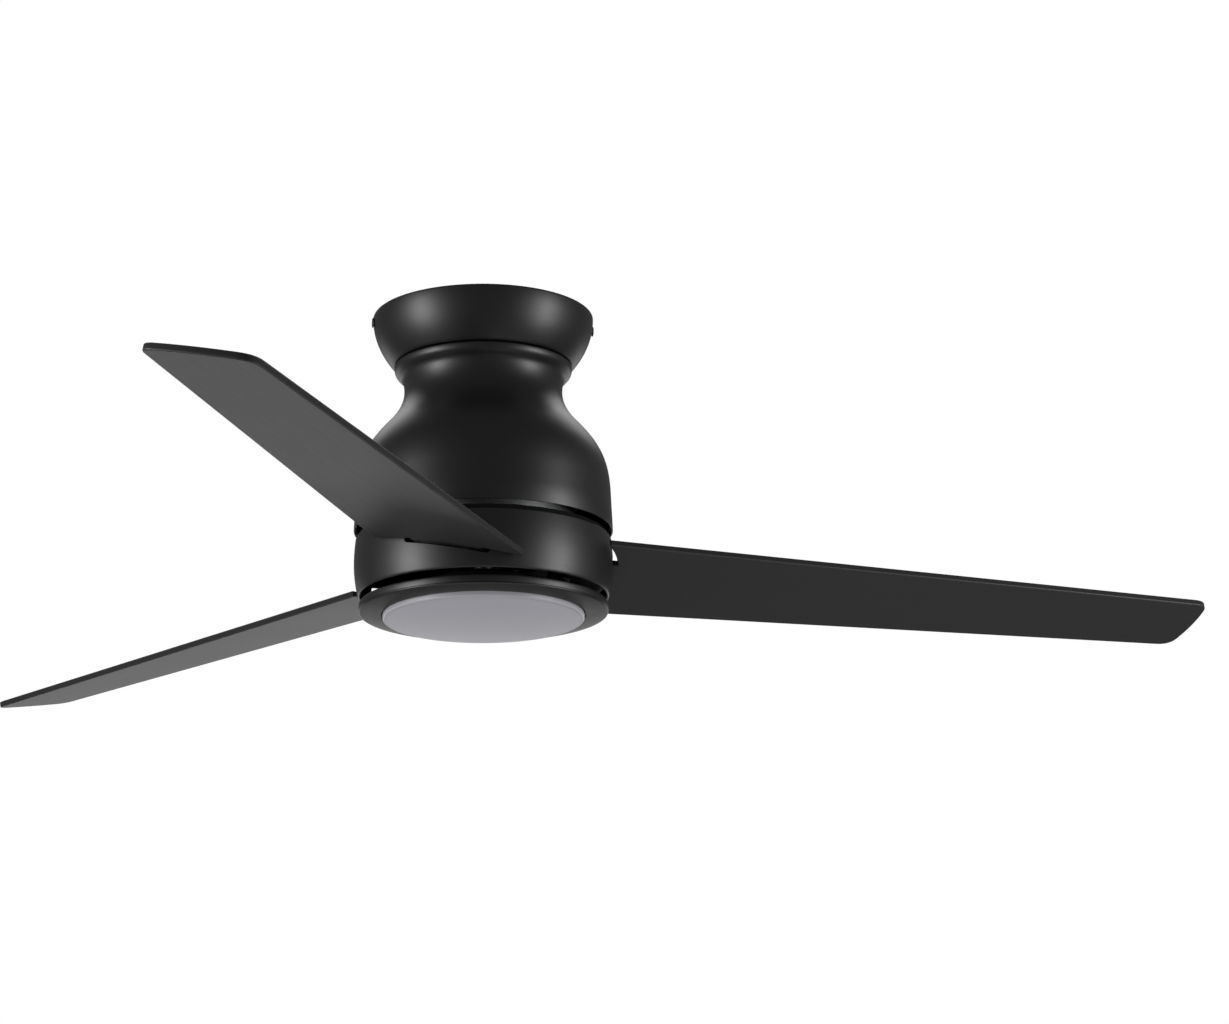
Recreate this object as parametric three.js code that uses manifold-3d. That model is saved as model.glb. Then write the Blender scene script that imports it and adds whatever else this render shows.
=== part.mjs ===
// A low-profile ceiling fan with an LED light, as an assembly of separate pieces.
// Millimetres, +Z up. The origin is where the fan's axis meets the ceiling, and everything hangs below it.
// The hanger bracket lies along X. The rotor turns about Z, and the diffuser twists about Z in the trim ring.
import * as THREE from "three";
import { mergeVertices } from "three/addons/utils/BufferGeometryUtils.js";
import Module from "manifold-3d";

const wasm = await Module();
wasm.setup();

// ---------------------------------------------------------------- driving dimensions

const GAP = 0.3; // clearance between pieces that touch
const FACETS = 36; // round an outside shell
const INNER_FACETS = 28; // round a large piece inside
const MID_FACETS = 18; // round the shaft and its neighbours
const SMALL_FACETS = 8; // round a fastener

// fasteners: shank radius, head radius and head height
const M4 = { shank: 2.0, head: 3.8, height: 2.6 };
const M5 = { shank: 2.5, head: 4.8, height: 3.0 };
const M6 = { shank: 3.0, head: 5.5, height: 4.0 };
const CANOPY_SCREW = { shank: 2.0, head: 4.5, height: 1.2 };
const HOLE_PLAY = 0.4; // radius of a screw hole over its shank

// canopy, a spun bowl against the ceiling
const CANOPY_RADIUS = 96;
const CANOPY_HEIGHT = 43.4;
const CANOPY_TAPER = 17.6; // from its rim in to where the bowl meets its floor
const CANOPY_WALL = 1.4;
const CANOPY_SCREW_DROP = 6.5; // below the ceiling

// hanger bracket
const STRAP_WIDTH = 40;
const STRAP_THICK = 2.5;
const EAR_ROOM = 5; // from each ear's outer face to the canopy's rim
const EAR_WIDTH = 24;
const EAR_DROP = 13.5;
const LEG_WIDTH = 30;
const FOOT_LENGTH = 18;
const BOX_SCREW_REACH = 44.45; // half of the ceiling box's screw spacing
const BOX_SLOT_LENGTH = 12;
const BOX_SLOT_WIDTH = 5.2;

// mount plate
const PLATE_ROOM = 4.4; // from its edge to the bowl's mouth
const PLATE_LIFT = 1.5; // above the canopy's floor
const PLATE_THICK = 3.7;
const PLATE_BOLT_EDGE = 7; // from a hanging bolt to the plate's edge
const BOSS_RADIUS = 50;
const BOSS_ROOM = 16; // round the boss in the canopy's floor
const BOSS_SCREW_EDGE = 14; // from a housing screw to the boss's edge

// hollow shaft
const SHAFT_RADIUS = 8.5;
const SHAFT_WALL = 3;
const SHAFT_ABOVE_PLATE = 6.3;
const SHAFT_BELOW_NUT = 2.5;
const COLLAR_WIDTH = 6.5;
const COLLAR_HEIGHT = 5;
const NUT_WIDTH = 5.5; // from its bore to its corners
const NUT_HEIGHT = 5.5;

// motor housing, one spun shell: a lip, a narrow neck and a bell
const HOUSING_WALL = 1.4;
const SEAM = 1.5; // between the canopy's floor and the lip
const COLLAR_ROOM = 6; // round the shaft's collar in the housing's top
const LIP_STEP = 1.2; // the lip is this much narrower than the bowl's mouth
const LIP_HEIGHT = 7.9;
const LIP_OVERHANG = 5; // out over the neck
const WAIST_DEPTH = 8.6; // in from the lip
const NECK_HEIGHT = 14.2; // lip to waist
const FLARE_HEIGHT = 32.1; // waist to shoulder
const SHOULDER_WIDTH = 15.3; // out from the waist
const SHOULDER_SLOPE = 43.5; // degrees from the vertical
const SHOULDER_HEIGHT = 56.9; // shoulder to bell
const BELL_HEIGHT = 37.4; // bell to mouth
const BODY_RADIUS = 111.2; // the bell's mouth, which the ring and the light line up with
const BELL_INSET = 1.6;

// motor
const STACK_HEIGHT = 24;
const STATOR_RADIUS = 66;
const YOKE_RADIUS = 34;
const SHOE_DEPTH = 4;
const TOOTH_COUNT = 12;
const TOOTH_WIDTH = 8;
const SHOE_SPAN = 24; // degrees
const WINDING_HEIGHT = 38;
const AIR_GAP = 1.5;
const MAGNET_THICK = 6.2;
const CASE_HALF_HEIGHT = 36;
const CASE_BELOW_BELL = 2.6;
const CASE_WALL = 5;
const CASE_PLATE = 4;
const FLANGE_WIDTH = 8;
const FLANGE_THICK = 4;
const BEARING_THICK = 11.2; // from its bore to its rim
const BEARING_WIDTH = 12;
const BEARING_LIP = 3;
const POCKET_WALL = 5;

// blade carrier and rotating ring
const CARRIER_INSET = 4.2;
const CARRIER_THICK = 3.7;
const CARRIER_HOLE = 27;
const CARRIER_SCREW_REACH = 50;
const RING_TOP_INSET = 1.6;
const RING_BELLY_INSET = 0.2;
const RING_FOOT_INSET = 3.8;
const RING_HEIGHT = 50.2;
const RING_WALL = 1.5;
const RING_LIP = 6; // width of its inturned top
const TAB_WIDTH = 22;
const TAB_LENGTH = 21;
const TAB_SCREW_EDGE = 8;

// blades
const BLADE_COUNT = 3;
const PARKED_TURN = 6.1; // degrees from +X to blade 1 at rest
const BLADE_RADIUS = 660.4; // the tips sweep a circle of 1320.8
const BLADE_THICK = 5.4;
const BLADE_BEVEL = 0.7;
const BLADE_PITCH = 11.6; // degrees, the clockwise edge is the high one
const BLADE_DROOP = 1.12; // degrees
const BLADE_FALL = 27.3; // from the ring's top to where the underside's plane meets the axis
const ROOT_GAP = 7.5; // between the ring and the blade's root
const ROOT_HIGH_WIDTH = 68.4; // from the blade's middle line to its high edge
const ROOT_LOW_WIDTH = 65.6; // and to its low edge
const TIP_HIGH_WIDTH = 40.6;
const TIP_LOW_WIDTH = 44;
const TIP_BULGE = 3.5;
const HIGH_CORNER_ROUND = 11;
const LOW_CORNER_ROUND = 13;
const ROOT_CORNER_ROUND = 4;
const TONGUE_HALF_WIDTH = 31;
const TONGUE_BEYOND_SEAT = 6;
const SLOT_PLAY_SIDE = 6.5;
const SLOT_PLAY_ABOVE = 3;
const SLOT_PLAY_BELOW = 2.6;
const SEAT_INSET = 14; // from the carrier's edge
const SEAT_LENGTH = 29;
const SEAT_HALF_WIDTH = 26;
const CUSHION_THICK = 1.5;
const BLADE_SCREW_EDGE = 7; // from the seat's ends
const BLADE_SCREW_SPREAD = 14;
const BLADE_SCREW_BITE = 8;

// light hub and pan
const HUB_HEIGHT = 18.2; // above the pan
const HUB_RADIUS = 54;
const HUB_WALL = 2.2;
const HUB_FLANGE = 10;
const PAN_GAP = 5.7; // below the ring
const PAN_INSET = 4.7;
const PAN_DEPTH = 6.4;
const PAN_WALL = 1.5;
const PAN_HOLE = 16;

// LED board and driver
const BOARD_MARGIN = 2; // outside the hub's flange
const BOARD_INSET = 9.5; // inside the pan's wall
const BOARD_THICK = 1.6;
const LED_COUNT = 24;
const LED_SIZE = 3;
const LED_HEIGHT = 0.8;
const DRIVER_LENGTH = 48;
const DRIVER_WIDTH = 24;
const DRIVER_HEIGHT = 12;
const DRIVER_ROOM = 5; // from the lower hub nut

// trim ring and diffuser
const TRIM_STEP = 0.1; // the trim is this much narrower than the pan
const TRIM_WIDTH = 19.1;
const TRIM_WALL = 1.6;
const TRIM_FALL = 3.1; // how far the bore hangs below the outer edge
const UPSTAND_HEIGHT = 4.4;
const UPSTAND_WALL = 1.4;
const LENS_PLAY = 1.3; // round the diffuser in the trim's bore
const LENS_WALL = 2;
const LENS_ROUND = 3.5;
const LENS_PROUD = 4.3; // straight rim and shoulder below the trim's bore
const LENS_CROWN = 4.4;
const LUG_COUNT = 3;
const LUG_REACH = 4.3;
const LUG_SPAN = 12; // degrees
const LUG_HEIGHT = 2.5;
const TWIST = 18; // degrees clockwise, seen from above, from locked to free

// receiver and the lead through the shaft
const RECEIVER_LENGTH = 72;
const RECEIVER_WIDTH = 44;
const RECEIVER_HEIGHT = 15.4;
const LEAD_RADIUS = 2;

// ---------------------------------------------------------------- radii that follow

const canopyMouth = CANOPY_RADIUS - CANOPY_TAPER;
const earReach = CANOPY_RADIUS - EAR_ROOM;
const plateRadius = canopyMouth - PLATE_ROOM;
const boltReach = plateRadius - PLATE_BOLT_EDGE;
const legReach = boltReach - FOOT_LENGTH / 2;
const housingScrewReach = BOSS_RADIUS - BOSS_SCREW_EDGE;
const collarRadius = SHAFT_RADIUS + COLLAR_WIDTH;
const lipRadius = canopyMouth - LIP_STEP;
const waistRadius = lipRadius - WAIST_DEPTH;
const bellRadius = BODY_RADIUS - BELL_INSET;
const bearingRadius = SHAFT_RADIUS + GAP + BEARING_THICK;
const magnetInner = STATOR_RADIUS + AIR_GAP;
const caseInner = magnetInner + MAGNET_THICK + GAP;
const caseOuter = caseInner + CASE_WALL;
const flangeScrewReach = caseOuter + FLANGE_WIDTH / 2;
const carrierRadius = BODY_RADIUS - CARRIER_INSET;
const seatEnd = carrierRadius - SEAT_INSET;
const seatStart = seatEnd - SEAT_LENGTH;
const ringTopRadius = BODY_RADIUS - RING_TOP_INSET;
const ringBellyRadius = BODY_RADIUS - RING_BELLY_INSET;
const ringFootRadius = BODY_RADIUS - RING_FOOT_INSET;
const tabStart = ringTopRadius - 2 - TAB_LENGTH;
const tabScrewReach = tabStart + TAB_SCREW_EDGE;
const rootRadius = ringBellyRadius + ROOT_GAP;
const panRadius = BODY_RADIUS - PAN_INSET;
const panScrewReach = HUB_RADIUS + HUB_FLANGE / 2;
const boardInner = HUB_RADIUS + HUB_FLANGE + BOARD_MARGIN;
const boardOuter = panRadius - BOARD_INSET;
const driverMiddle = SHAFT_RADIUS + NUT_WIDTH + DRIVER_ROOM + DRIVER_WIDTH / 2;
const trimRadius = panRadius - TRIM_STEP;
const trimBore = trimRadius - TRIM_WIDTH;
const lensRadius = trimBore - LENS_PLAY;

// ---------------------------------------------------------------- heights that follow, below the ceiling

const plateBottom = -(CANOPY_HEIGHT - CANOPY_WALL - PLATE_LIFT);
const plateTop = plateBottom + PLATE_THICK;
const footBottom = plateTop + GAP;
const shaftTop = plateTop + SHAFT_ABOVE_PLATE;
const housingTop = -(CANOPY_HEIGHT + SEAM);
const bossBottom = housingTop + GAP;
const lipFoot = housingTop - LIP_HEIGHT;
const waist = lipFoot - NECK_HEIGHT;
const shoulderHeight = waist - FLARE_HEIGHT;
const bellHeight = shoulderHeight - SHOULDER_HEIGHT;
const bellMouth = bellHeight - BELL_HEIGHT;
const caseBottom = bellMouth - CASE_BELOW_BELL;
const motorMiddle = caseBottom + CASE_HALF_HEIGHT;
const carrierTop = caseBottom - GAP;
const carrierBottom = carrierTop - CARRIER_THICK;
const ringTop = carrierBottom - GAP;
const ringFoot = ringTop - RING_HEIGHT;
const bladePlane = ringTop - BLADE_FALL;
const panTop = ringFoot - PAN_GAP;
const panBottom = panTop - PAN_DEPTH;
const hubBottom = panTop + GAP;
const hubTop = panTop + HUB_HEIGHT;
const shaftBottom = hubTop - HUB_WALL - GAP - NUT_HEIGHT - SHAFT_BELOW_NUT;
const boardTop = panTop - PAN_WALL - GAP;
const boardBottom = boardTop - BOARD_THICK;
const trimTop = panBottom - GAP;
const trimBoreTop = trimTop - TRIM_FALL + TRIM_WALL;
const trimBoreBottom = trimTop - TRIM_FALL;
const lugBottom = trimBoreTop + 3 * GAP;
const lensTop = lugBottom + LUG_HEIGHT;
const lensShoulder = trimBoreBottom - LENS_PROUD + LENS_ROUND;

// ---------------------------------------------------------------- shapes

const radians = THREE.MathUtils.degToRad;
const polar = (radius, degrees) => [
  radius * Math.cos(radians(degrees)),
  radius * Math.sin(radians(degrees)),
];
const thirds = [0, 120, 240];

function solid(geometry) {
  const bare = new THREE.BufferGeometry();
  const whole = geometry.index ? geometry.toNonIndexed() : geometry;
  bare.setAttribute("position", whole.getAttribute("position"));
  const merged = mergeVertices(bare, 1e-4);
  const corners = merged.index.array;
  const kept = [];
  for (let i = 0; i < corners.length; i += 3) {
    const [a, b, c] = corners.slice(i, i + 3);
    if (a !== b && b !== c && c !== a) kept.push(a, b, c);
  }
  return new wasm.Manifold(
    new wasm.Mesh({
      numProp: 3,
      vertProperties: merged.attributes.position.array,
      triVerts: new Uint32Array(kept),
    }),
  );
}

function geometryOf(body) {
  const mesh = body.getMesh();
  const indexed = new THREE.BufferGeometry();
  indexed.setAttribute(
    "position",
    new THREE.BufferAttribute(mesh.vertProperties, 3),
  );
  indexed.setIndex(new THREE.BufferAttribute(mesh.triVerts, 1));
  const geometry = indexed.toNonIndexed();
  geometry.computeVertexNormals();
  return geometry;
}

const cut = (body, tools) => tools.reduce((left, tool) => left.subtract(tool), body);
const join = (bodies) => bodies.reduce((sum, body) => sum.add(body));

// A turned solid from its section in (radius, height), which closes on itself or on the axis.
function turned(section, facets = FACETS) {
  const outline = section.map(([r, z]) => new THREE.Vector2(r, z));
  const ring = THREE.ShapeUtils.area(outline) > 0 ? outline : outline.reverse();
  const onAxis = ring.filter((p) => p.x === 0).length > 1;
  if (onAxis) {
    // start just after the stretch that runs along the axis
    while (!(ring[0].x === 0 && ring.at(-1).x === 0)) ring.push(ring.shift());
  } else {
    ring.push(ring[0].clone());
  }
  return solid(new THREE.LatheGeometry(ring, facets).rotateX(Math.PI / 2));
}

// A path set over to its left by a distance, with mitred corners.
function setOver(path, distance) {
  return path.map((point, i) => {
    const before = path[Math.max(i - 1, 0)];
    const after = path[Math.min(i + 1, path.length - 1)];
    const normals = [];
    if (i > 0) normals.push(leftOf(before, point));
    if (i < path.length - 1) normals.push(leftOf(point, after));
    const sum = normals.reduce(([x, y], [a, b]) => [x + a, y + b], [0, 0]);
    const size = Math.hypot(...sum);
    const unit = [sum[0] / size, sum[1] / size];
    const stretch = unit[0] * normals[0][0] + unit[1] * normals[0][1];
    return [
      point[0] + (unit[0] * distance) / stretch,
      point[1] + (unit[1] * distance) / stretch,
    ];
  });
}

function leftOf([ax, ay], [bx, by]) {
  const length = Math.hypot(bx - ax, by - ay);
  return [-(by - ay) / length, (bx - ax) / length];
}

// A turned shell of even wall, from the path of its outer face.
function shell(path, wall, facets = FACETS) {
  return turned([...path, ...setOver(path, wall).reverse()], facets);
}

// Points along a cubic curve, without its first point.
function curve(start, pull, push, end, steps) {
  const bezier = new THREE.CubicBezierCurve(
    ...[start, pull, push, end].map(([r, z]) => new THREE.Vector2(r, z)),
  );
  return bezier
    .getPoints(steps)
    .slice(1)
    .map((p) => [p.x, p.y]);
}

function box([x0, x1], [y0, y1], [z0, z1]) {
  const block = new THREE.BoxGeometry(x1 - x0, y1 - y0, z1 - z0);
  return solid(block.translate((x0 + x1) / 2, (y0 + y1) / 2, (z0 + z1) / 2));
}

// An upright rod between two heights at a place on the plan.
function rod(radius, [x, y], [z0, z1], facets = SMALL_FACETS) {
  const cylinder = new THREE.CylinderGeometry(radius, radius, z1 - z0, facets);
  return solid(cylinder.rotateX(Math.PI / 2).translate(x, y, (z0 + z1) / 2));
}

// A flat outline given height, with an optional bevel that keeps it inside the outline.
function slab(shape, z0, z1, bevel = 0) {
  const geometry = new THREE.ExtrudeGeometry(shape, {
    depth: z1 - z0 - 2 * bevel,
    bevelEnabled: bevel > 0,
    bevelThickness: bevel,
    bevelSize: bevel,
    bevelOffset: -bevel,
    bevelSegments: 1,
    curveSegments: 3,
  });
  return solid(geometry.translate(0, 0, z0 + bevel));
}

// A closed outline through corners, each rounded by its own radius.
function rounded(corners) {
  const shape = new THREE.Shape();
  const count = corners.length;
  corners.forEach(([x, y, round], i) => {
    const here = new THREE.Vector2(x, y);
    const before = new THREE.Vector2(...corners[(i + count - 1) % count]);
    const after = new THREE.Vector2(...corners[(i + 1) % count]);
    const start = here.clone().add(before.sub(here).setLength(round || 0));
    const end = here.clone().add(after.sub(here).setLength(round || 0));
    if (i === 0) shape.moveTo(start.x, start.y);
    else shape.lineTo(start.x, start.y);
    if (round) shape.quadraticCurveTo(x, y, end.x, end.y);
  });
  shape.closePath();
  return shape;
}

function hexagon(radius) {
  const corners = [0, 60, 120, 180, 240, 300].map((a) => polar(radius, a));
  return new THREE.Shape(corners.map(([x, y]) => new THREE.Vector2(x, y)));
}

const moved = (body, matrix) => body.transform(matrix.elements);

// ---------------------------------------------------------------- materials and the scene

const fan = new THREE.Group();
const rotor = new THREE.Group();
rotor.rotation.z = THREE.MathUtils.degToRad(PARKED_TURN);
fan.add(rotor);

const finish = (color, roughness, metalness) => () =>
  new THREE.MeshStandardMaterial({ color, roughness, metalness });
const satinBlack = finish(0x1c1c1d, 0.45, 0.2);
const bladeBlack = finish(0x232324, 0.6, 0);
const zinc = finish(0xb8bcc0, 0.35, 0.9);
const blackZinc = finish(0x2a2a2c, 0.4, 0.8);
const aluminium = finish(0xa6a9ac, 0.5, 0.8);
const bareSteel = finish(0x8b9096, 0.4, 0.9);
const copper = finish(0xb06a36, 0.4, 0.8);
const magnetGrey = finish(0x3b3d40, 0.5, 0.4);
const rubber = finish(0x161616, 0.9, 0);
const blackPlastic = finish(0x1f2022, 0.6, 0);
const whitePlastic = finish(0xe9e9e6, 0.5, 0);
const boardWhite = finish(0xf1f1ee, 0.5, 0);
const opal = finish(0xc9c8cf, 0.55, 0);

function piece(parent, name, body, material) {
  const mesh = new THREE.Mesh(geometryOf(body), material());
  mesh.name = name;
  parent.add(mesh);
  return mesh;
}

// A pan head screw whose head rests on z = 0 from below and whose shank points up.
function screw(size, length) {
  const { shank, head, height } = size;
  return turned(
    [
      [0, -height],
      [head * 0.7, -height],
      [head, 0],
      [shank, 0],
      [shank, length],
      [0, length],
    ],
    SMALL_FACETS,
  );
}

// A screw set upright: its head's seat at a height, its shank up or down from there.
function uprightScrew(parent, name, size, length, [x, y], seat, points = "up") {
  const mesh = piece(parent, name, screw(size, length), zinc);
  mesh.position.set(x, y, seat);
  if (points === "down") mesh.rotation.x = Math.PI;
  return mesh;
}

// ---------------------------------------------------------------- ceiling end

function hangerBracket() {
  const ends = [-1, 1];
  const strapHalf = STRAP_WIDTH / 2;
  const bodies = [
    box([-earReach, earReach], [-strapHalf, strapHalf], [-STRAP_THICK, 0]),
  ];
  const holes = [];
  const span = (a, b, side) => [a * side, b * side].sort((p, q) => p - q);
  for (const side of ends) {
    const ear = span(earReach - STRAP_THICK, earReach, side);
    bodies.push(box(ear, [-EAR_WIDTH / 2, EAR_WIDTH / 2], [-EAR_DROP, 0]));
    const leg = span(legReach - STRAP_THICK, legReach, side);
    bodies.push(box(leg, [-LEG_WIDTH / 2, LEG_WIDTH / 2], [footBottom, -1]));
    const foot = span(legReach - STRAP_THICK, legReach + FOOT_LENGTH, side);
    bodies.push(
      box(
        foot,
        [-LEG_WIDTH / 2, LEG_WIDTH / 2],
        [footBottom, footBottom + STRAP_THICK],
      ),
    );
    const across = rod(
      CANOPY_SCREW.shank + HOLE_PLAY,
      [0, 0],
      [-STRAP_THICK, STRAP_THICK],
    );
    const turn = new THREE.Matrix4()
      .makeTranslation(side * (earReach - STRAP_THICK / 2), 0, -CANOPY_SCREW_DROP)
      .multiply(new THREE.Matrix4().makeRotationY(Math.PI / 2));
    holes.push(moved(across, turn));
    holes.push(
      rod(
        M6.shank + HOLE_PLAY,
        [side * boltReach, 0],
        [footBottom - 1, footBottom + STRAP_THICK + 1],
      ),
    );
    const slotHalf = BOX_SLOT_LENGTH / 2;
    const slot = span(BOX_SCREW_REACH - slotHalf, BOX_SCREW_REACH + slotHalf, side);
    holes.push(
      box(slot, [-BOX_SLOT_WIDTH / 2, BOX_SLOT_WIDTH / 2], [-STRAP_THICK - 1, 1]),
    );
  }
  piece(fan, "hanger_bracket", cut(join(bodies), holes), zinc);
}

function canopy() {
  const bowl = [
    [CANOPY_RADIUS, 0],
    ...curve(
      [CANOPY_RADIUS, 0],
      [CANOPY_RADIUS, -CANOPY_HEIGHT * 0.415],
      [CANOPY_RADIUS - 8.5, -CANOPY_HEIGHT * 0.75],
      [canopyMouth, -CANOPY_HEIGHT],
      5,
    ),
    [BOSS_RADIUS + BOSS_ROOM, -CANOPY_HEIGHT],
  ];
  const across = rod(
    CANOPY_SCREW.shank + HOLE_PLAY,
    [0, 0],
    [-2 * CANOPY_RADIUS, 2 * CANOPY_RADIUS],
  );
  const turn = new THREE.Matrix4()
    .makeTranslation(0, 0, -CANOPY_SCREW_DROP)
    .multiply(new THREE.Matrix4().makeRotationY(Math.PI / 2));
  // the path runs down and then inward, so its right hand is the inside of the bowl
  const body = shell(bowl, -CANOPY_WALL);
  piece(fan, "canopy", cut(body, [moved(across, turn)]), satinBlack);

  [0, 180].forEach((angle, i) => {
    const length = CANOPY_RADIUS - earReach + STRAP_THICK + 4;
    const body = screw(CANOPY_SCREW, length);
    const mesh = piece(fan, `canopy_screw_${i + 1}`, body, blackZinc);
    const [x, y] = polar(CANOPY_RADIUS, angle);
    mesh.position.set(x, y, -CANOPY_SCREW_DROP);
    mesh.rotation.set(0, -Math.PI / 2, 0);
    if (angle === 180) mesh.rotation.y = Math.PI / 2;
  });
}

function mountPlate() {
  const plate = turned(
    [
      [SHAFT_RADIUS + GAP, plateTop],
      [plateRadius, plateTop],
      [plateRadius, plateBottom],
      [BOSS_RADIUS, plateBottom],
      [BOSS_RADIUS, bossBottom],
      [SHAFT_RADIUS + GAP, bossBottom],
    ],
    INNER_FACETS,
  );
  const through = [bossBottom - 1, plateTop + 1];
  const holes = [-1, 1].map((side) =>
    rod(M6.shank + HOLE_PLAY, [side * boltReach, 0], through),
  );
  for (const angle of thirds)
    holes.push(rod(M5.shank + HOLE_PLAY, polar(housingScrewReach, angle), through));
  piece(fan, "mount_plate", cut(plate, holes), bareSteel);

  [1, -1].forEach((side, i) => {
    const seat = footBottom + STRAP_THICK + GAP;
    const length = seat - plateBottom - GAP;
    const place = [side * boltReach, 0];
    uprightScrew(fan, `hanging_bolt_${i + 1}`, M6, length, place, seat, "down");
  });
}

function nut(name, z0, z1) {
  const bore = rod(SHAFT_RADIUS + GAP, [0, 0], [z0 - 1, z1 + 1], MID_FACETS);
  piece(fan, name, cut(slab(hexagon(SHAFT_RADIUS + NUT_WIDTH), z0, z1, 0.6), [bore]), zinc);
}

function hollowShaft() {
  const collarTop = bossBottom - GAP;
  const shaft = turned(
    [
      [SHAFT_RADIUS - SHAFT_WALL, shaftTop],
      [SHAFT_RADIUS - SHAFT_WALL, shaftBottom],
      [SHAFT_RADIUS, shaftBottom],
      [SHAFT_RADIUS, collarTop - COLLAR_HEIGHT],
      [collarRadius, collarTop - COLLAR_HEIGHT],
      [collarRadius, collarTop],
      [SHAFT_RADIUS, collarTop],
      [SHAFT_RADIUS, shaftTop],
    ],
    MID_FACETS,
  );
  piece(fan, "hollow_shaft", shaft, bareSteel);
  nut("shaft_nut", plateTop + GAP, plateTop + GAP + NUT_HEIGHT);
  nut("hub_nut_upper", hubTop + GAP, hubTop + GAP + NUT_HEIGHT);
  const underHub = hubTop - HUB_WALL - GAP;
  nut("hub_nut_lower", underHub - NUT_HEIGHT, underHub);
}

function receiver() {
  const top = -(STRAP_THICK + GAP);
  const halfLength = RECEIVER_LENGTH / 2;
  const halfWidth = RECEIVER_WIDTH / 2;
  const outline = rounded([
    [-halfLength, -halfWidth, 3],
    [halfLength, -halfWidth, 3],
    [halfLength, halfWidth, 3],
    [-halfLength, halfWidth, 3],
  ]);
  piece(fan, "receiver_module", slab(outline, top - RECEIVER_HEIGHT, top, 1), blackPlastic);
}

// ---------------------------------------------------------------- motor housing

function housingPath() {
  const lipTop = housingTop;
  const slope = [
    Math.sin(radians(SHOULDER_SLOPE)),
    -Math.cos(radians(SHOULDER_SLOPE)),
  ];
  const shoulder = [waistRadius + SHOULDER_WIDTH, shoulderHeight];
  const along = (distance) => [
    shoulder[0] + slope[0] * distance,
    shoulder[1] + slope[1] * distance,
  ];
  const neckTop = [lipRadius - LIP_OVERHANG, lipFoot - 0.3];
  const narrow = [waistRadius, waist];
  const bell = [bellRadius, bellHeight];
  return [
    [collarRadius + COLLAR_ROOM, lipTop],
    [lipRadius - 2, lipTop],
    ...curve(
      [lipRadius - 2, lipTop],
      [lipRadius + 0.4, lipTop],
      [lipRadius + 0.6, lipTop - 3.4],
      [lipRadius - LIP_OVERHANG + 0.9, lipFoot],
      3,
    ),
    neckTop,
    ...curve(
      neckTop,
      [waistRadius + 1.2, lipFoot - 3.6],
      [waistRadius, lipFoot - 7.5],
      narrow,
      2,
    ),
    ...curve(narrow, [waistRadius, waist - 11], along(-14.5), shoulder, 3),
    ...curve(shoulder, along(27), [bellRadius - 1.4, bellHeight + 24], bell, 4),
    [BODY_RADIUS, bellMouth],
  ];
}

function motorHousing() {
  const body = shell(housingPath(), -HOUSING_WALL);
  const through = [housingTop - HOUSING_WALL - 1, housingTop + 1];
  const holes = thirds.map((angle) =>
    rod(M5.shank + HOLE_PLAY, polar(housingScrewReach, angle), through),
  );
  piece(fan, "motor_housing", cut(body, holes), satinBlack);

  const seat = housingTop - HOUSING_WALL - GAP;
  const length = plateTop - seat - 2;
  thirds.forEach((angle, i) => {
    const place = polar(housingScrewReach, angle);
    uprightScrew(fan, `housing_screw_${i + 1}`, M5, length, place, seat);
  });
}

// ---------------------------------------------------------------- motor

function statorCore() {
  const outline = new THREE.Shape();
  const neck = STATOR_RADIUS - SHOE_DEPTH;
  const rootAngle = THREE.MathUtils.radToDeg(Math.asin(TOOTH_WIDTH / 2 / YOKE_RADIUS));
  const neckAngle = THREE.MathUtils.radToDeg(Math.asin(TOOTH_WIDTH / 2 / neck));
  for (let i = 0; i < TOOTH_COUNT; i++) {
    const middle = (360 / TOOTH_COUNT) * i;
    const points = [
      polar(YOKE_RADIUS, middle - rootAngle),
      polar(neck, middle - neckAngle),
      polar(neck + 1, middle - SHOE_SPAN / 2),
      polar(STATOR_RADIUS, middle - SHOE_SPAN / 2),
      polar(STATOR_RADIUS, middle),
      polar(STATOR_RADIUS, middle + SHOE_SPAN / 2),
      polar(neck + 1, middle + SHOE_SPAN / 2),
      polar(neck, middle + neckAngle),
      polar(YOKE_RADIUS, middle + rootAngle),
    ];
    points.forEach(([x, y], k) => {
      if (i + k === 0) outline.moveTo(x, y);
      else outline.lineTo(x, y);
    });
  }
  outline.closePath();
  const half = STACK_HEIGHT / 2;
  const stack = slab(outline, -half, half);
  const bore = rod(SHAFT_RADIUS + GAP, [0, 0], [-half - 1, half + 1], MID_FACETS);
  const core = piece(fan, "stator_core", cut(stack, [bore]), bareSteel);
  core.position.z = motorMiddle;
}

// The coils meet at the yoke, and a groove parts each from the next.
function statorWindings() {
  const inner = YOKE_RADIUS + 1.5;
  const outer = STATOR_RADIUS - SHOE_DEPTH - 1.5;
  const pitch = 360 / TOOTH_COUNT;
  const outline = [];
  for (let i = 0; i < TOOTH_COUNT; i++) {
    outline.push(polar(inner + 8, pitch * (i - 0.5)));
    outline.push(polar(outer, pitch * (i - 0.43)));
    outline.push(polar(outer, pitch * (i + 0.43)));
  }
  const half = WINDING_HEIGHT / 2;
  const star = slab(rounded(outline), -half, half, 1.5);
  const tools = [rod(inner, [0, 0], [-half - 1, half + 1], 2 * TOOTH_COUNT)];
  const toothHalf = TOOTH_WIDTH / 2 + GAP;
  const stackHalf = STACK_HEIGHT / 2 + GAP;
  const tooth = box([0, STATOR_RADIUS], [-toothHalf, toothHalf], [-stackHalf, stackHalf]);
  for (let i = 0; i < TOOTH_COUNT; i++)
    tools.push(moved(tooth, new THREE.Matrix4().makeRotationZ(radians(pitch * i))));
  const windings = piece(fan, "stator_windings", cut(star, tools), copper);
  windings.position.z = motorMiddle;
}

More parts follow.
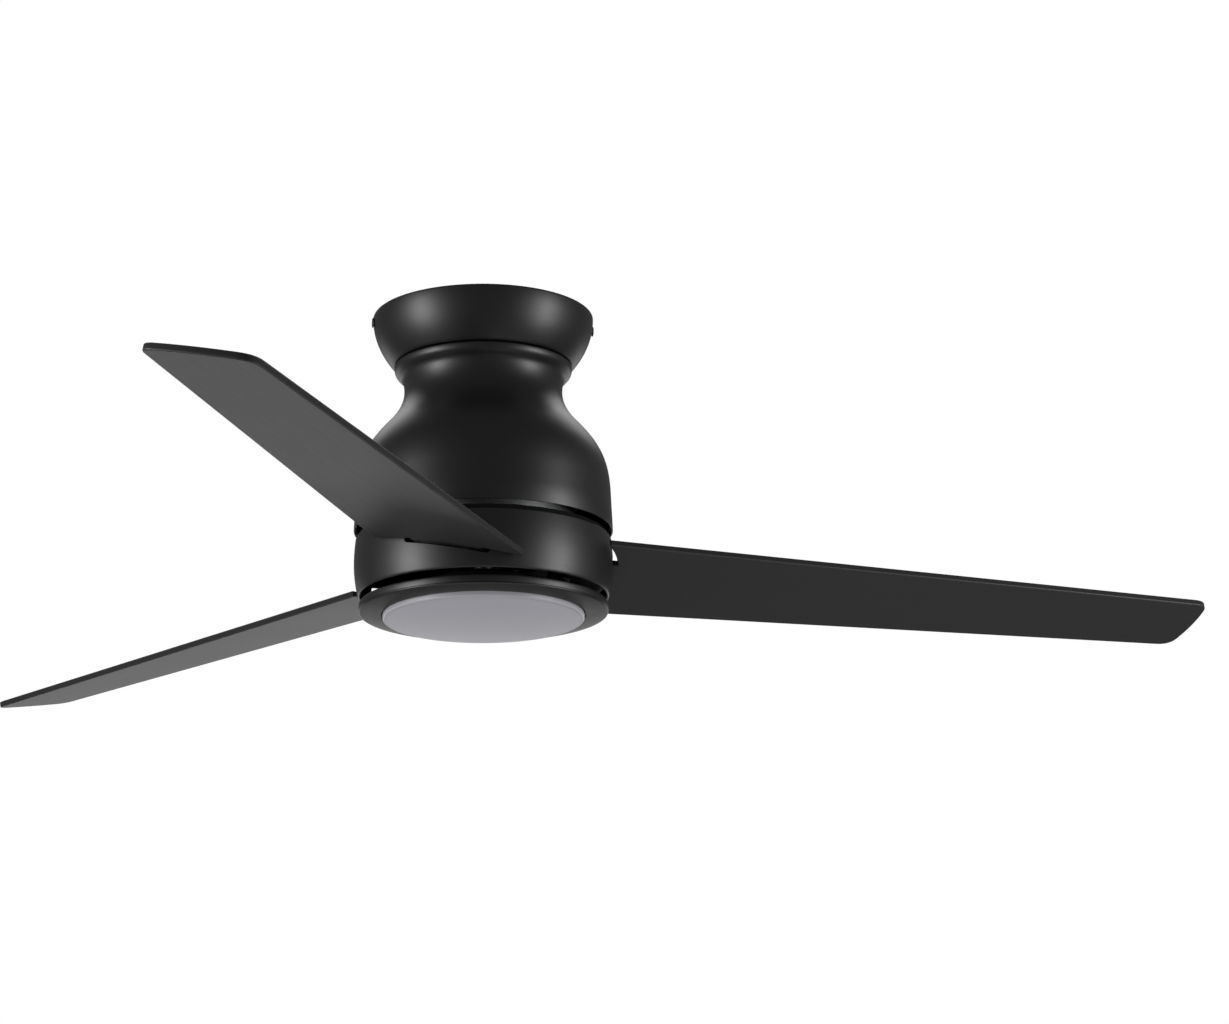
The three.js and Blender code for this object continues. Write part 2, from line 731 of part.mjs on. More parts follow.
function bearing(name, top) {
  const bottom = top - BEARING_WIDTH;
  const body = turned(
    [
      [SHAFT_RADIUS + GAP, top],
      [bearingRadius, top],
      [bearingRadius, bottom],
      [SHAFT_RADIUS + GAP, bottom],
    ],
    MID_FACETS,
  );
  piece(fan, name, body, bareSteel);
}

// One half of the rotor's case, from its closed end at CASE_HALF_HEIGHT down to its flange at `joint`.
function caseHalf(joint) {
  const pocket = bearingRadius + GAP;
  const lip = CASE_HALF_HEIGHT - CASE_PLATE - BEARING_LIP;
  const top = CASE_HALF_HEIGHT;
  const hubFoot = lip - BEARING_WIDTH - GAP;
  const body = turned(
    [
      [collarRadius, top],
      [caseOuter - 3, top],
      [caseOuter, top - 3],
      [caseOuter, joint + FLANGE_THICK],
      [caseOuter + FLANGE_WIDTH, joint + FLANGE_THICK],
      [caseOuter + FLANGE_WIDTH, joint],
      [caseInner, joint],
      [caseInner, top - CASE_PLATE],
      [pocket + POCKET_WALL, top - CASE_PLATE],
      [pocket + POCKET_WALL, hubFoot],
      [pocket, hubFoot],
      [pocket, lip],
      [collarRadius, lip],
    ],
    INNER_FACETS,
  );
  const through = [joint - 1, joint + FLANGE_THICK + 1];
  return cut(
    body,
    thirds.map((angle) => rod(M4.shank + HOLE_PLAY, polar(flangeScrewReach, angle), through)),
  );
}

function rotorCase() {
  const top = piece(rotor, "rotor_case_upper", caseHalf(GAP / 2), aluminium);
  top.position.z = motorMiddle;
  const holes = [60, 180, 300].map((angle) =>
    rod(
      M5.shank + HOLE_PLAY,
      polar(CARRIER_SCREW_REACH, angle),
      [CASE_HALF_HEIGHT - CASE_PLATE - 1, CASE_HALF_HEIGHT + 1],
    ),
  );
  const flipped = cut(caseHalf(GAP / 2), holes);
  const base = piece(rotor, "rotor_case_lower", flipped, aluminium);
  base.position.z = motorMiddle;
  base.rotation.x = Math.PI;

  const bearingDrop = CASE_HALF_HEIGHT - CASE_PLATE - BEARING_LIP - GAP;
  bearing("bearing_upper", motorMiddle + bearingDrop);
  bearing("bearing_lower", motorMiddle - bearingDrop + BEARING_WIDTH);

  const half = STACK_HEIGHT / 2;
  const magnets = turned(
    [
      [magnetInner, -half],
      [magnetInner + MAGNET_THICK, -half],
      [magnetInner + MAGNET_THICK, half],
      [magnetInner, half],
    ],
    INNER_FACETS,
  );
  piece(rotor, "magnet_ring", magnets, magnetGrey).position.z = motorMiddle;

  const seat = motorMiddle + GAP / 2 + FLANGE_THICK + GAP;
  thirds.forEach((angle, i) => {
    const length = 2 * FLANGE_THICK;
    uprightScrew(rotor, `case_screw_${i + 1}`, M4, length, polar(flangeScrewReach, angle), seat, "down");
  });
}

// ---------------------------------------------------------------- blades and what carries them

// The frame of a blade: X runs along it from the axis, -Y is its high edge, and z = 0 is its underside.
function bladeFrame(index) {
  const turn = new THREE.Euler(
    radians(-BLADE_PITCH),
    radians(BLADE_DROOP),
    radians((360 / BLADE_COUNT) * index),
    "ZYX",
  );
  return new THREE.Matrix4()
    .makeRotationFromEuler(turn)
    .setPosition(0, 0, bladePlane);
}

function bladeNumbers() {
  return Array.from({ length: BLADE_COUNT }, (_, i) => i);
}

// The root's hollow follows the ring, from the tongue's side out to a corner.
function rootArc(width) {
  const inner = Math.asin(TONGUE_HALF_WIDTH / rootRadius);
  const outer = Math.asin(width / rootRadius);
  return Array.from({ length: 5 }, (_, i) => {
    const angle = inner + ((outer - inner) * i) / 4;
    const round = i === 4 ? ROOT_CORNER_ROUND : 0;
    return [rootRadius * Math.cos(angle), rootRadius * Math.sin(angle), round];
  });
}

function bladeOutline() {
  const high = rootArc(ROOT_HIGH_WIDTH).map(([x, y, round]) => [x, -y, round]);
  const low = rootArc(ROOT_LOW_WIDTH);
  const tongueStart = seatStart - TONGUE_BEYOND_SEAT;
  const cornerX = BLADE_RADIUS - TIP_BULGE;
  const tip = [-0.5, 0, 0.5].map((share) => [
    BLADE_RADIUS - TIP_BULGE * share * share,
    (share < 0 ? TIP_HIGH_WIDTH : TIP_LOW_WIDTH) * share,
    0,
  ]);
  return rounded([
    [tongueStart, -TONGUE_HALF_WIDTH, 3],
    ...high,
    [cornerX, -TIP_HIGH_WIDTH, HIGH_CORNER_ROUND],
    ...tip,
    [cornerX, TIP_LOW_WIDTH, LOW_CORNER_ROUND],
    ...low.reverse(),
    [tongueStart, TONGUE_HALF_WIDTH, 3],
  ]);
}

function bladeScrewPlaces() {
  const inner = seatStart + BLADE_SCREW_EDGE;
  const outer = seatEnd - BLADE_SCREW_EDGE;
  return [
    [inner, 0],
    [outer, -BLADE_SCREW_SPREAD],
    [outer, BLADE_SCREW_SPREAD],
  ];
}

function bladeScrewHoles(z0, z1) {
  return bladeScrewPlaces().map((place) => rod(M5.shank + HOLE_PLAY, place, [z0, z1]));
}

function blades() {
  const seatFoot = BLADE_THICK + CUSHION_THICK + 2 * GAP;
  const board = slab(bladeOutline(), 0, BLADE_THICK, BLADE_BEVEL);
  const blade = cut(board, bladeScrewHoles(-1, BLADE_THICK + 1));
  const half = SEAT_HALF_WIDTH;
  const pad = box(
    [seatStart, seatEnd],
    [-half, half],
    [BLADE_THICK + GAP, BLADE_THICK + GAP + CUSHION_THICK],
  );
  const cushion = cut(pad, bladeScrewHoles(0, seatFoot + 1));
  const fastener = screw(M5, seatFoot + BLADE_SCREW_BITE);
  for (const i of bladeNumbers()) {
    const seat = new THREE.Group();
    seat.applyMatrix4(bladeFrame(i));
    rotor.add(seat);
    piece(seat, `blade_${i + 1}`, blade, bladeBlack);
    piece(seat, `blade_cushion_${i + 1}`, cushion, rubber);
    bladeScrewPlaces().forEach(([x, y], k) => {
      const mesh = piece(seat, `blade_${i + 1}_screw_${k + 1}`, fastener, zinc);
      mesh.position.set(x, y, -GAP);
    });
  }
}

function bladeCarrier() {
  const plate = turned(
    [
      [CARRIER_HOLE, carrierTop],
      [carrierRadius, carrierTop],
      [carrierRadius, carrierBottom],
      [CARRIER_HOLE, carrierBottom],
    ],
    INNER_FACETS,
  );
  const seatFoot = BLADE_THICK + CUSHION_THICK + 2 * GAP;
  const block = box(
    [seatStart, seatEnd],
    [-SEAT_HALF_WIDTH, SEAT_HALF_WIDTH],
    [seatFoot, seatFoot + 60],
  );
  const keep = rod(carrierRadius, [0, 0], [bladePlane - 40, carrierTop - 1], MID_FACETS);
  const bodies = [plate];
  const holes = [];
  for (const i of bladeNumbers()) {
    bodies.push(moved(block, bladeFrame(i)).intersect(keep));
    for (const hole of bladeScrewHoles(0, seatFoot + BLADE_SCREW_BITE + 1))
      holes.push(moved(hole, bladeFrame(i)));
  }
  const through = [carrierBottom - 1, carrierTop + 1];
  for (const angle of [60, 180, 300]) {
    holes.push(rod(M5.shank + HOLE_PLAY, polar(CARRIER_SCREW_REACH, angle), through));
    holes.push(rod(M4.shank + HOLE_PLAY, polar(tabScrewReach, angle), through));
  }
  piece(rotor, "blade_carrier", cut(join(bodies), holes), satinBlack);

  [60, 180, 300].forEach((angle, i) => {
    const seat = carrierBottom - GAP;
    const length = CARRIER_THICK + CASE_PLATE;
    const place = polar(CARRIER_SCREW_REACH, angle);
    uprightScrew(rotor, `carrier_screw_${i + 1}`, M5, length, place, seat);
  });
}

function bladeRing() {
  const belly = 4 * (ringBellyRadius - ringTopRadius);
  const path = [
    [ringTopRadius - RING_LIP, ringTop],
    [ringTopRadius - 1.2, ringTop],
    [ringTopRadius, ringTop - 1.2],
    ...curve(
      [ringTopRadius, ringTop - 1.2],
      [ringTopRadius + belly * 0.33, ringTop - RING_HEIGHT * 0.33],
      [ringBellyRadius + belly * 0.12, ringTop - RING_HEIGHT * 0.66],
      [ringFootRadius, ringFoot + 0.8],
      4,
    ),
    [ringFootRadius - 0.8, ringFoot],
  ];
  const bodies = [shell(path, -RING_WALL)];
  const holes = [];
  for (const angle of [60, 180, 300]) {
    const tab = box(
      [tabStart, ringTopRadius - 2],
      [-TAB_WIDTH / 2, TAB_WIDTH / 2],
      [ringTop - RING_WALL, ringTop],
    );
    bodies.push(moved(tab, new THREE.Matrix4().makeRotationZ(radians(angle))));
    holes.push(
      rod(
        M4.shank + HOLE_PLAY,
        polar(tabScrewReach, angle),
        [ringTop - RING_WALL - 1, ringTop + 1],
      ),
    );
  }
  const slotHalf = TONGUE_HALF_WIDTH + SLOT_PLAY_SIDE;
  const slot = box(
    [seatEnd, rootRadius + 10],
    [-slotHalf, slotHalf],
    [-SLOT_PLAY_BELOW, BLADE_THICK + SLOT_PLAY_ABOVE],
  );
  for (const i of bladeNumbers()) holes.push(moved(slot, bladeFrame(i)));
  piece(rotor, "blade_ring", cut(join(bodies), holes), satinBlack);

  [60, 180, 300].forEach((angle, i) => {
    const seat = ringTop - RING_WALL - GAP;
    const length = RING_WALL + CARRIER_THICK;
    const place = polar(tabScrewReach, angle);
    uprightScrew(rotor, `ring_screw_${i + 1}`, M4, length, place, seat);
  });
}

// ---------------------------------------------------------------- light

function lightHub() {
  const top = hubTop;
  const body = turned(
    [
      [SHAFT_RADIUS + GAP, top],
      [HUB_RADIUS - 2, top],
      [HUB_RADIUS, top - 2],
      [HUB_RADIUS, hubBottom + HUB_WALL],
      [HUB_RADIUS + HUB_FLANGE, hubBottom + HUB_WALL],
      [HUB_RADIUS + HUB_FLANGE, hubBottom],
      [HUB_RADIUS - HUB_WALL, hubBottom],
      [HUB_RADIUS - HUB_WALL, top - HUB_WALL],
      [SHAFT_RADIUS + GAP, top - HUB_WALL],
    ],
    INNER_FACETS,
  );
  const through = [hubBottom - 1, hubBottom + HUB_WALL + 1];
  const holes = thirds.map((angle) =>
    rod(M4.shank + HOLE_PLAY, polar(panScrewReach, angle), through),
  );
  piece(fan, "light_hub", cut(body, holes), satinBlack);
}

function lightPan() {
  const top = panTop;
  const path = [
    [PAN_HOLE, top],
    [panRadius - 1.5, top],
    [panRadius, top - 1.5],
    [panRadius, panBottom],
  ];
  const through = [top - PAN_WALL - 1, top + 1];
  const holes = thirds.map((angle) =>
    rod(M4.shank + HOLE_PLAY, polar(panScrewReach, angle), through),
  );
  piece(fan, "light_pan", cut(shell(path, -PAN_WALL), holes), satinBlack);

  const seat = top - PAN_WALL - GAP;
  thirds.forEach((angle, i) => {
    const length = PAN_WALL + HUB_WALL + 2;
    const place = polar(panScrewReach, angle);
    uprightScrew(fan, `pan_screw_${i + 1}`, M4, length, place, seat);
  });
}

function ledBoard() {
  const board = turned(
    [
      [boardInner, boardTop],
      [boardOuter, boardTop],
      [boardOuter, boardBottom],
      [boardInner, boardBottom],
    ],
    INNER_FACETS,
  );
  const half = LED_SIZE / 2;
  const middle = (boardInner + Math.min(boardOuter, lensRadius - LENS_WALL)) / 2;
  const led = box(
    [middle - half, middle + half],
    [-half, half],
    [boardBottom - LED_HEIGHT, boardBottom + 0.2],
  );
  const bodies = [board];
  for (let i = 0; i < LED_COUNT; i++) {
    const step = radians((360 / LED_COUNT) * i);
    bodies.push(moved(led, new THREE.Matrix4().makeRotationZ(step)));
  }
  piece(fan, "led_board", join(bodies), boardWhite);
}

function ledDriver() {
  const length = DRIVER_LENGTH;
  const width = DRIVER_WIDTH;
  const outline = rounded([
    [-width / 2, -length / 2, 2],
    [width / 2, -length / 2, 2],
    [width / 2, length / 2, 2],
    [-width / 2, length / 2, 2],
  ]);
  const body = slab(outline, 0, DRIVER_HEIGHT, 0.8);
  const mesh = piece(fan, "led_driver", body, whitePlastic);
  mesh.position.set(driverMiddle, 0, panTop + GAP);
}

function trimRing() {
  const upstandOuter = panRadius - PAN_WALL - GAP;
  const upstandInner = upstandOuter - UPSTAND_WALL;
  const body = turned([
    [trimRadius, trimTop],
    [upstandOuter, trimTop],
    [upstandOuter, trimTop + UPSTAND_HEIGHT],
    [upstandInner, trimTop + UPSTAND_HEIGHT],
    [upstandInner, trimTop + 0.8],
    [trimBore, trimBoreTop],
    [trimBore, trimBoreBottom + 0.4],
    [trimBore + 0.8, trimBoreBottom],
    [trimRadius - 1.6, trimTop - 1.5],
    [trimRadius, trimTop - 0.6],
  ]);
  const notchHalf = radians(LUG_SPAN / 2 + 1.5) * lensRadius;
  const notch = box(
    [lensRadius - 6, lensRadius + LUG_REACH + GAP],
    [-notchHalf, notchHalf],
    [trimBoreBottom - 2, trimTop + 2],
  );
  const notches = Array.from({ length: LUG_COUNT }, (_, i) =>
    moved(
      notch,
      new THREE.Matrix4().makeRotationZ(radians((360 / LUG_COUNT) * i - TWIST)),
    ),
  );
  piece(fan, "trim_ring", cut(body, notches), satinBlack);
}

function diffuser() {
  const shoulderArc = (radius, steps) => {
    const centre = [lensRadius - LENS_ROUND, lensShoulder];
    return Array.from({ length: steps + 1 }, (_, i) => {
      const angle = (Math.PI / 2) * (i / steps);
      return [
        centre[0] + radius * Math.cos(angle),
        centre[1] - radius * Math.sin(angle),
      ];
    });
  };
  const dome = (wall) => [
    (lensRadius - LENS_ROUND) * 0.5,
    lensShoulder - LENS_ROUND + wall - LENS_CROWN * 0.75,
  ];
  const crown = lensShoulder - LENS_ROUND - LENS_CROWN;
  const cup = turned([
    [lensRadius, lensTop],
    ...shoulderArc(LENS_ROUND, 3),
    dome(0),
    [0, crown],
    [0, crown + LENS_WALL],
    dome(LENS_WALL),
    ...shoulderArc(LENS_ROUND - LENS_WALL, 2).reverse(),
    [lensRadius - LENS_WALL, lensTop],
  ]);
  const lugs = turned([
    [lensRadius - 1, lugBottom],
    [lensRadius + LUG_REACH, lugBottom],
    [lensRadius + LUG_REACH, lensTop],
    [lensRadius - 1, lensTop],
  ]);
  const lugHalf = radians(LUG_SPAN / 2) * lensRadius;
  const wedge = box(
    [lensRadius - 8, lensRadius + 10],
    [-lugHalf, lugHalf],
    [lugBottom - 1, lensTop + 1],
  );
  const bodies = [cup];
  for (let i = 0; i < LUG_COUNT; i++) {
    const step = new THREE.Matrix4().makeRotationZ(radians((360 / LUG_COUNT) * i));
    bodies.push(lugs.intersect(moved(wedge, step)));
  }
  piece(fan, "diffuser", join(bodies), opal);
}

// The lead leaves the receiver, drops through the hollow shaft and ends in the LED driver.
function lightLead() {
  const receiverFoot = -(STRAP_THICK + GAP + RECEIVER_HEIGHT);
  const driverFace = driverMiddle - DRIVER_WIDTH / 2;
  const route = [
    [22, 0, receiverFoot - GAP],
    [22, 0, receiverFoot - 2],
    [18, 0, receiverFoot - 5.5],
    [11, 0, receiverFoot - 6.5],
    [5, 0, receiverFoot - 7.5],
    [1.5, 0, receiverFoot - 10],
    [0, 0, shaftTop - 4],
    [0, 0, shaftTop - 20],
    [0, 0, (shaftTop + shaftBottom) / 2],
    [0, 0, shaftBottom + 12],
    [0, 0, shaftBottom - 1],
    [2.5, 0, shaftBottom - 4.5],
    [8, 0, shaftBottom - 6],
    [driverFace - 5, 0, shaftBottom - 5.2],
    [driverFace - GAP, 0, shaftBottom - 5],
  ].map((p) => new THREE.Vector3(...p));
  const section = new THREE.Shape();
  section.absarc(0, 0, LEAD_RADIUS, 0, 2 * Math.PI);
  const tube = new THREE.ExtrudeGeometry(section, {
    steps: 30,
    curveSegments: 3,
    extrudePath: new THREE.CatmullRomCurve3(route, false, "centripetal"),
  });
  piece(fan, "light_lead", solid(tube), rubber);
}

// ---------------------------------------------------------------- assembly

hangerBracket();
canopy();
mountPlate();
hollowShaft();
receiver();
motorHousing();
statorCore();
statorWindings();
rotorCase();
bladeCarrier();
bladeRing();
blades();
lightHub();
lightPan();
ledBoard();
ledDriver();
trimRing();
diffuser();
lightLead();

export default fan;
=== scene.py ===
import math

import bmesh
import bpy
from mathutils import Matrix, Vector


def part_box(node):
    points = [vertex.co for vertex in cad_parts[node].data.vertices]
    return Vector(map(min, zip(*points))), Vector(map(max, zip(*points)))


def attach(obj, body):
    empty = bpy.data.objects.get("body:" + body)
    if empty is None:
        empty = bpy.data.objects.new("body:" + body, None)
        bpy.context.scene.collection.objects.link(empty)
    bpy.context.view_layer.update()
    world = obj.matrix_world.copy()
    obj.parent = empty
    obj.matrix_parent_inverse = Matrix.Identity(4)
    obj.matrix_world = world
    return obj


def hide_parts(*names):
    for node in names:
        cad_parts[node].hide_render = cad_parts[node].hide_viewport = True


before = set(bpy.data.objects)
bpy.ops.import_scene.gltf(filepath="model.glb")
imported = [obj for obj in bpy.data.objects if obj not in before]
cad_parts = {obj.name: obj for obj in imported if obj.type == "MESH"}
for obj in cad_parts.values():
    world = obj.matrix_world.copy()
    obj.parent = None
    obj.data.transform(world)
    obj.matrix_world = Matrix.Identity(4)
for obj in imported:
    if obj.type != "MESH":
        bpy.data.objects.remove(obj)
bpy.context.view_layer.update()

# ---------------------------------------------------------------- camera
# The fan hangs overhead, so the camera stands below it and a little to one side, and looks up. Its turns
# are given from the bracket's line, and its place from the axis at the blades' height.

CAMERA_TURN = math.radians(-6.95)
CAMERA_AWAY = 2.629
CAMERA_DROP = 0.9033
AIM_RIGHT = math.radians(2.456)
AIM_UP = math.radians(15.485)
ROLL = math.radians(-0.736)

camera_data = bpy.data.cameras.new("camera")
camera_data.lens = 92.798
camera_data.sensor_width = 36
camera_data.clip_start = 0.05
camera_data.clip_end = 200
camera = bpy.data.objects.new("camera", camera_data)
bpy.context.collection.objects.link(camera)
bpy.context.scene.camera = camera
camera.location = Matrix.Rotation(CAMERA_TURN, 3, "Z") @ Vector((0, -CAMERA_AWAY, -CAMERA_DROP))
camera.rotation_mode = "XYZ"
camera.rotation_euler = (
    Matrix.Rotation(CAMERA_TURN - AIM_RIGHT, 3, "Z")
    @ Matrix.Rotation(math.pi / 2 + AIM_UP, 3, "X")
    @ Matrix.Rotation(ROLL, 3, "Z")
).to_euler()

# ---------------------------------------------------------------- studio
# A plain pale floor far below, and soft lights: a tall panel at each side of the fan, two wide ones
# behind it, low and high, and a broad one below. The sky and the floor are pale to look at and dim as
# lights, so that black paint stays black.

FLOOR_DROP = 6
FLOOR_REACH = 400
FLOOR_GLOW = 0.75
SKY_GLOW = 0.14
PANELS_AIM = Vector((0, 0, -0.14))


def plain_floor():
    corners = [(FLOOR_REACH * x, FLOOR_REACH * y) for x, y in ((-1, -1), (1, -1), (1, 1), (-1, 1))]
    mesh = bpy.data.meshes.new("floor")
    mesh.from_pydata([(x, y, -FLOOR_DROP) for x, y in corners], [], [(0, 1, 2, 3)])
    floor = bpy.data.objects.new("floor", mesh)
    bpy.context.collection.objects.link(floor)
    material = bpy.data.materials.new("pale_floor")
    material.use_nodes = True
    shader = material.node_tree.nodes["Principled BSDF"]
    shader.inputs["Base Color"].default_value = (0.86, 0.86, 0.86, 1)
    shader.inputs["Roughness"].default_value = 0.9
    shader.inputs["Emission Color"].default_value = (0.86, 0.86, 0.86, 1)
    shader.inputs["Emission Strength"].default_value = FLOOR_GLOW
    mesh.materials.append(material)
    floor.visible_diffuse = False
    floor.visible_glossy = False


def sky():
    world = bpy.data.worlds.new("sky")
    world.use_nodes = True
    bpy.context.scene.world = world
    tree = world.node_tree
    tree.nodes.clear()
    output = tree.nodes.new("ShaderNodeOutputWorld")
    path = tree.nodes.new("ShaderNodeLightPath")
    seen = tree.nodes.new("ShaderNodeBackground")
    seen.inputs["Strength"].default_value = 1.0
    seen.inputs["Color"].default_value = (1, 1, 1, 1)
    lit = tree.nodes.new("ShaderNodeBackground")
    lit.inputs["Strength"].default_value = SKY_GLOW
    lit.inputs["Color"].default_value = (1, 1, 1, 1)
    choose = tree.nodes.new("ShaderNodeMixShader")
    tree.links.new(path.outputs["Is Camera Ray"], choose.inputs[0])
    tree.links.new(lit.outputs[0], choose.inputs[1])
    tree.links.new(seen.outputs[0], choose.inputs[2])
    tree.links.new(choose.outputs[0], output.inputs[0])


def soft_panel(name, azimuth, elevation, distance, width, height, watts):
    light = bpy.data.lights.new(name, "AREA")
    light.shape = "RECTANGLE"
    light.size = width
    light.size_y = height
    light.energy = watts
    panel = bpy.data.objects.new(name, light)
    bpy.context.collection.objects.link(panel)
    turn = CAMERA_TURN + math.radians(azimuth)
    rise = math.radians(elevation)
    back = Vector((math.sin(turn) * math.cos(rise), -math.cos(turn) * math.cos(rise), math.sin(rise)))
    panel.location = PANELS_AIM + back * distance
    panel.visible_camera = False
    panel.rotation_euler = (-back).to_track_quat("-Z", "Y").to_euler()


plain_floor()
sky()
soft_panel("panel_left", -66, -6, 2.2, 0.6, 1.4, 40)
soft_panel("panel_right", 68, -6, 2.2, 0.6, 1.4, 34)
soft_panel("panel_back", 180, -4, 3.5, 5.0, 1.3, 30)
soft_panel("panel_below", 0, -88, 4.5, 5.0, 5.0, 68)
soft_panel("panel_high", 180, 44, 4.0, 5.0, 1.6, 60)
bpy.context.scene.view_settings.view_transform = "Standard"

# ---------------------------------------------------------------- hanger bracket
# The bracket is folded from one strip of zinc plated steel. Its ears take the canopy's screws, and its
# feet carry the mount plate. The sheet's cut edges are slightly rounded by plating, so the plain solid is
# softened along them.


class Wire:
    """A value in a material's tree. Sums written with it add the nodes that work them out."""

    def __init__(self, finish, socket):
        self.finish = finish
        self.socket = socket

    def _math(self, operation, first, second):
        sockets = {0: first, 1: second}
        return self.finish.node("ShaderNodeMath", {"operation": operation}, sockets)

    def __add__(self, other):
        return self._math("ADD", self, other)

    def __radd__(self, other):
        return self._math("ADD", other, self)

    def __sub__(self, other):
        return self._math("SUBTRACT", self, other)

    def __rsub__(self, other):
        return self._math("SUBTRACT", other, self)

    def __mul__(self, other):
        return self._math("MULTIPLY", self, other)

    def __rmul__(self, other):
        return self._math("MULTIPLY", other, self)

    def __pow__(self, other):
        return self._math("POWER", self, other)


class Finish:
    """A material with one main shader, and the nodes that feed it."""

    def __init__(self, name):
        self.material = bpy.data.materials.new(name)
        self.material.use_nodes = True
        self.tree = self.material.node_tree
        self.shader = self.tree.nodes["Principled BSDF"]

    def node(self, kind, settings, sockets, out=0):
        made = self.tree.nodes.new(kind)
        for name, value in settings.items():
            setattr(made, name, value)
        for name, value in sockets.items():
            if isinstance(value, Wire):
                self.tree.links.new(value.socket, made.inputs[name])
            else:
                made.inputs[name].default_value = value
        return Wire(self, made.outputs[out])

    def set(self, **sockets):
        """Feed the main shader, and hand over the finished material."""
        for name, value in sockets.items():
            socket = self.shader.inputs[name.replace("_", " ").title().replace("Ior", "IOR")]
            if isinstance(value, Wire):
                self.tree.links.new(value.socket, socket)
            else:
                socket.default_value = value
        return self.material

    def place(self):
        return self.node("ShaderNodeTexCoord", {}, {}, "Object")

    def parts(self, vector):
        """The X, Y and Z of a vector."""
        split = self.node("ShaderNodeSeparateXYZ", {}, {"Vector": vector}).socket.node
        return [Wire(self, output) for output in split.outputs]

    def from_axis(self, place):
        """How far a place lies from the fan's axis."""
        across, along, _ = self.parts(place)
        return (across * across + along * along) ** 0.5

    def noise(self, vector, scale, detail=2.0, roughness=0.5):
        sockets = {"Vector": vector, "Scale": scale, "Detail": detail, "Roughness": roughness}
        return self.node("ShaderNodeTexNoise", {}, sockets)

    def blend(self, share, dark, light):
        sockets = {0: share, 6: (*dark, 1), 7: (*light, 1)}
        return self.node("ShaderNodeMix", {"data_type": "RGBA"}, sockets, 2)

    def relief(self, height, depth, strength=1.0):
        sockets = {"Height": height, "Distance": depth, "Strength": strength}
        return self.node("ShaderNodeBump", {}, sockets)


def plated_steel(name, dark, light, rough):
    """Zinc plating: bright metal with a faint cloud in it and fine drawing marks."""
    finish = Finish(name)
    place = finish.place()
    cloud = finish.noise(place, 60, 3)
    grain = finish.noise(place, 1800, 2)
    return finish.set(
        base_color=finish.blend(cloud, dark, light),
        metallic=1.0,
        roughness=rough + cloud * 0.12 + grain * 0.06,
        normal=finish.relief(grain, 0.00002, 0.5),
    )


def shade_round(mesh, sharp=32):
    """Smooth shading, broken only at edges sharper than an angle in degrees."""
    form = bmesh.new()
    form.from_mesh(mesh)
    for face in form.faces:
        face.smooth = True
    for edge in form.edges:
        open_edge = len(edge.link_faces) != 2
        edge.smooth = not open_edge and edge.calc_face_angle() < math.radians(sharp)
    form.to_mesh(mesh)
    form.free()


def mesh_of(form, name):
    """A shape that is done with, as a mesh."""
    mesh = bpy.data.meshes.new(name)
    form.to_mesh(mesh)
    form.free()
    return mesh


def set_down(name, mesh):
    obj = bpy.data.objects.new(name, mesh)
    bpy.context.collection.objects.link(obj)
    return obj


def finished(obj):
    """The object's mesh with its modifiers worked in. The object itself goes."""
    shapes = bpy.context.evaluated_depsgraph_get()
    mesh = bpy.data.meshes.new_from_object(obj.evaluated_get(shapes))
    bpy.data.objects.remove(obj)
    return mesh


def piece(name, mesh, material, body, stands_for):
    """A finished piece in its place: shown with its material, moving with its body."""
    obj = set_down(name, mesh)
    if not mesh.materials:
        mesh.materials.append(material)
    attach(obj, body)
    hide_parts(*stands_for)


def merged_copy(node):
    """A copy of a plain solid's mesh, with its loose triangles joined and its flats made whole."""
    form = bmesh.new()
    form.from_mesh(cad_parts[node].data)
    bmesh.ops.remove_doubles(form, verts=form.verts, dist=1e-6)
    flat = math.radians(0.5)
    bmesh.ops.dissolve_limit(form, angle_limit=flat, verts=form.verts, edges=form.edges)
    return mesh_of(form, node + "_copy")


def softened(name, node, width, material, body):
    """A piece made from a plain solid, with its edges rounded by a small radius."""
    obj = set_down(name, merged_copy(node))
    bevel = obj.modifiers.new("edges", "BEVEL")
    bevel.width = width
    bevel.segments = 2
    bevel.limit_method = "ANGLE"
    bevel.angle_limit = math.radians(32)
    mesh = finished(obj)
    shade_round(mesh)
    mesh.materials.clear()
    piece(name, mesh, material, body, [node])


zinc = plated_steel("zinc_plating", (0.36, 0.37, 0.39), (0.56, 0.57, 0.58), 0.3)
softened("folded_bracket", "hanger_bracket", 0.0004, zinc, "root")

# ---------------------------------------------------------------- receiver
# The receiver is a black plastic case under the strap, between the bracket's legs. It takes the remote's
# signal. The moulding has a spark-eroded texture.


def moulded_plastic(name, dark, light, rough, pit=0.00003):
    finish = Finish(name)
    place = finish.place()
    cloud = finish.noise(place, 30, 2)
    texture = finish.noise(place, 2600, 1)
    return finish.set(
        base_color=finish.blend(cloud, dark, light),
        roughness=rough + cloud * 0.08,
        normal=finish.relief(texture, pit, 0.8),
    )


case_plastic = moulded_plastic("receiver_plastic", (0.012, 0.012, 0.013), (0.02, 0.02, 0.022), 0.5)
softened("receiver_case", "receiver_module", 0.0008, case_plastic, "root")

# ---------------------------------------------------------------- mount plate
# A turned steel plate bolted up to the bracket's feet. Its boss comes down through the canopy's floor to
# the housing. The steel is left oiled, with the lathe's rings on it.


def turned_steel(name, dark, light, rough):
    """Bare steel from the lathe: rings round the axis, and a darker film of oil in patches."""
    finish = Finish(name)
    place = finish.place()
    rings = finish.node("ShaderNodeMath", {"operation": "SINE"}, {0: finish.from_axis(place) * 9000})
    oil = finish.noise(place, 25, 4)
    return finish.set(
        base_color=finish.blend(oil, dark, light),
        metallic=1.0,
        roughness=rough + oil * 0.15,
        normal=finish.relief(rings, 0.00001, 0.4),
    )


steel = turned_steel("turned_steel", (0.16, 0.17, 0.18), (0.32, 0.33, 0.35), 0.3)
softened("turned_plate", "mount_plate", 0.0004, steel, "root")

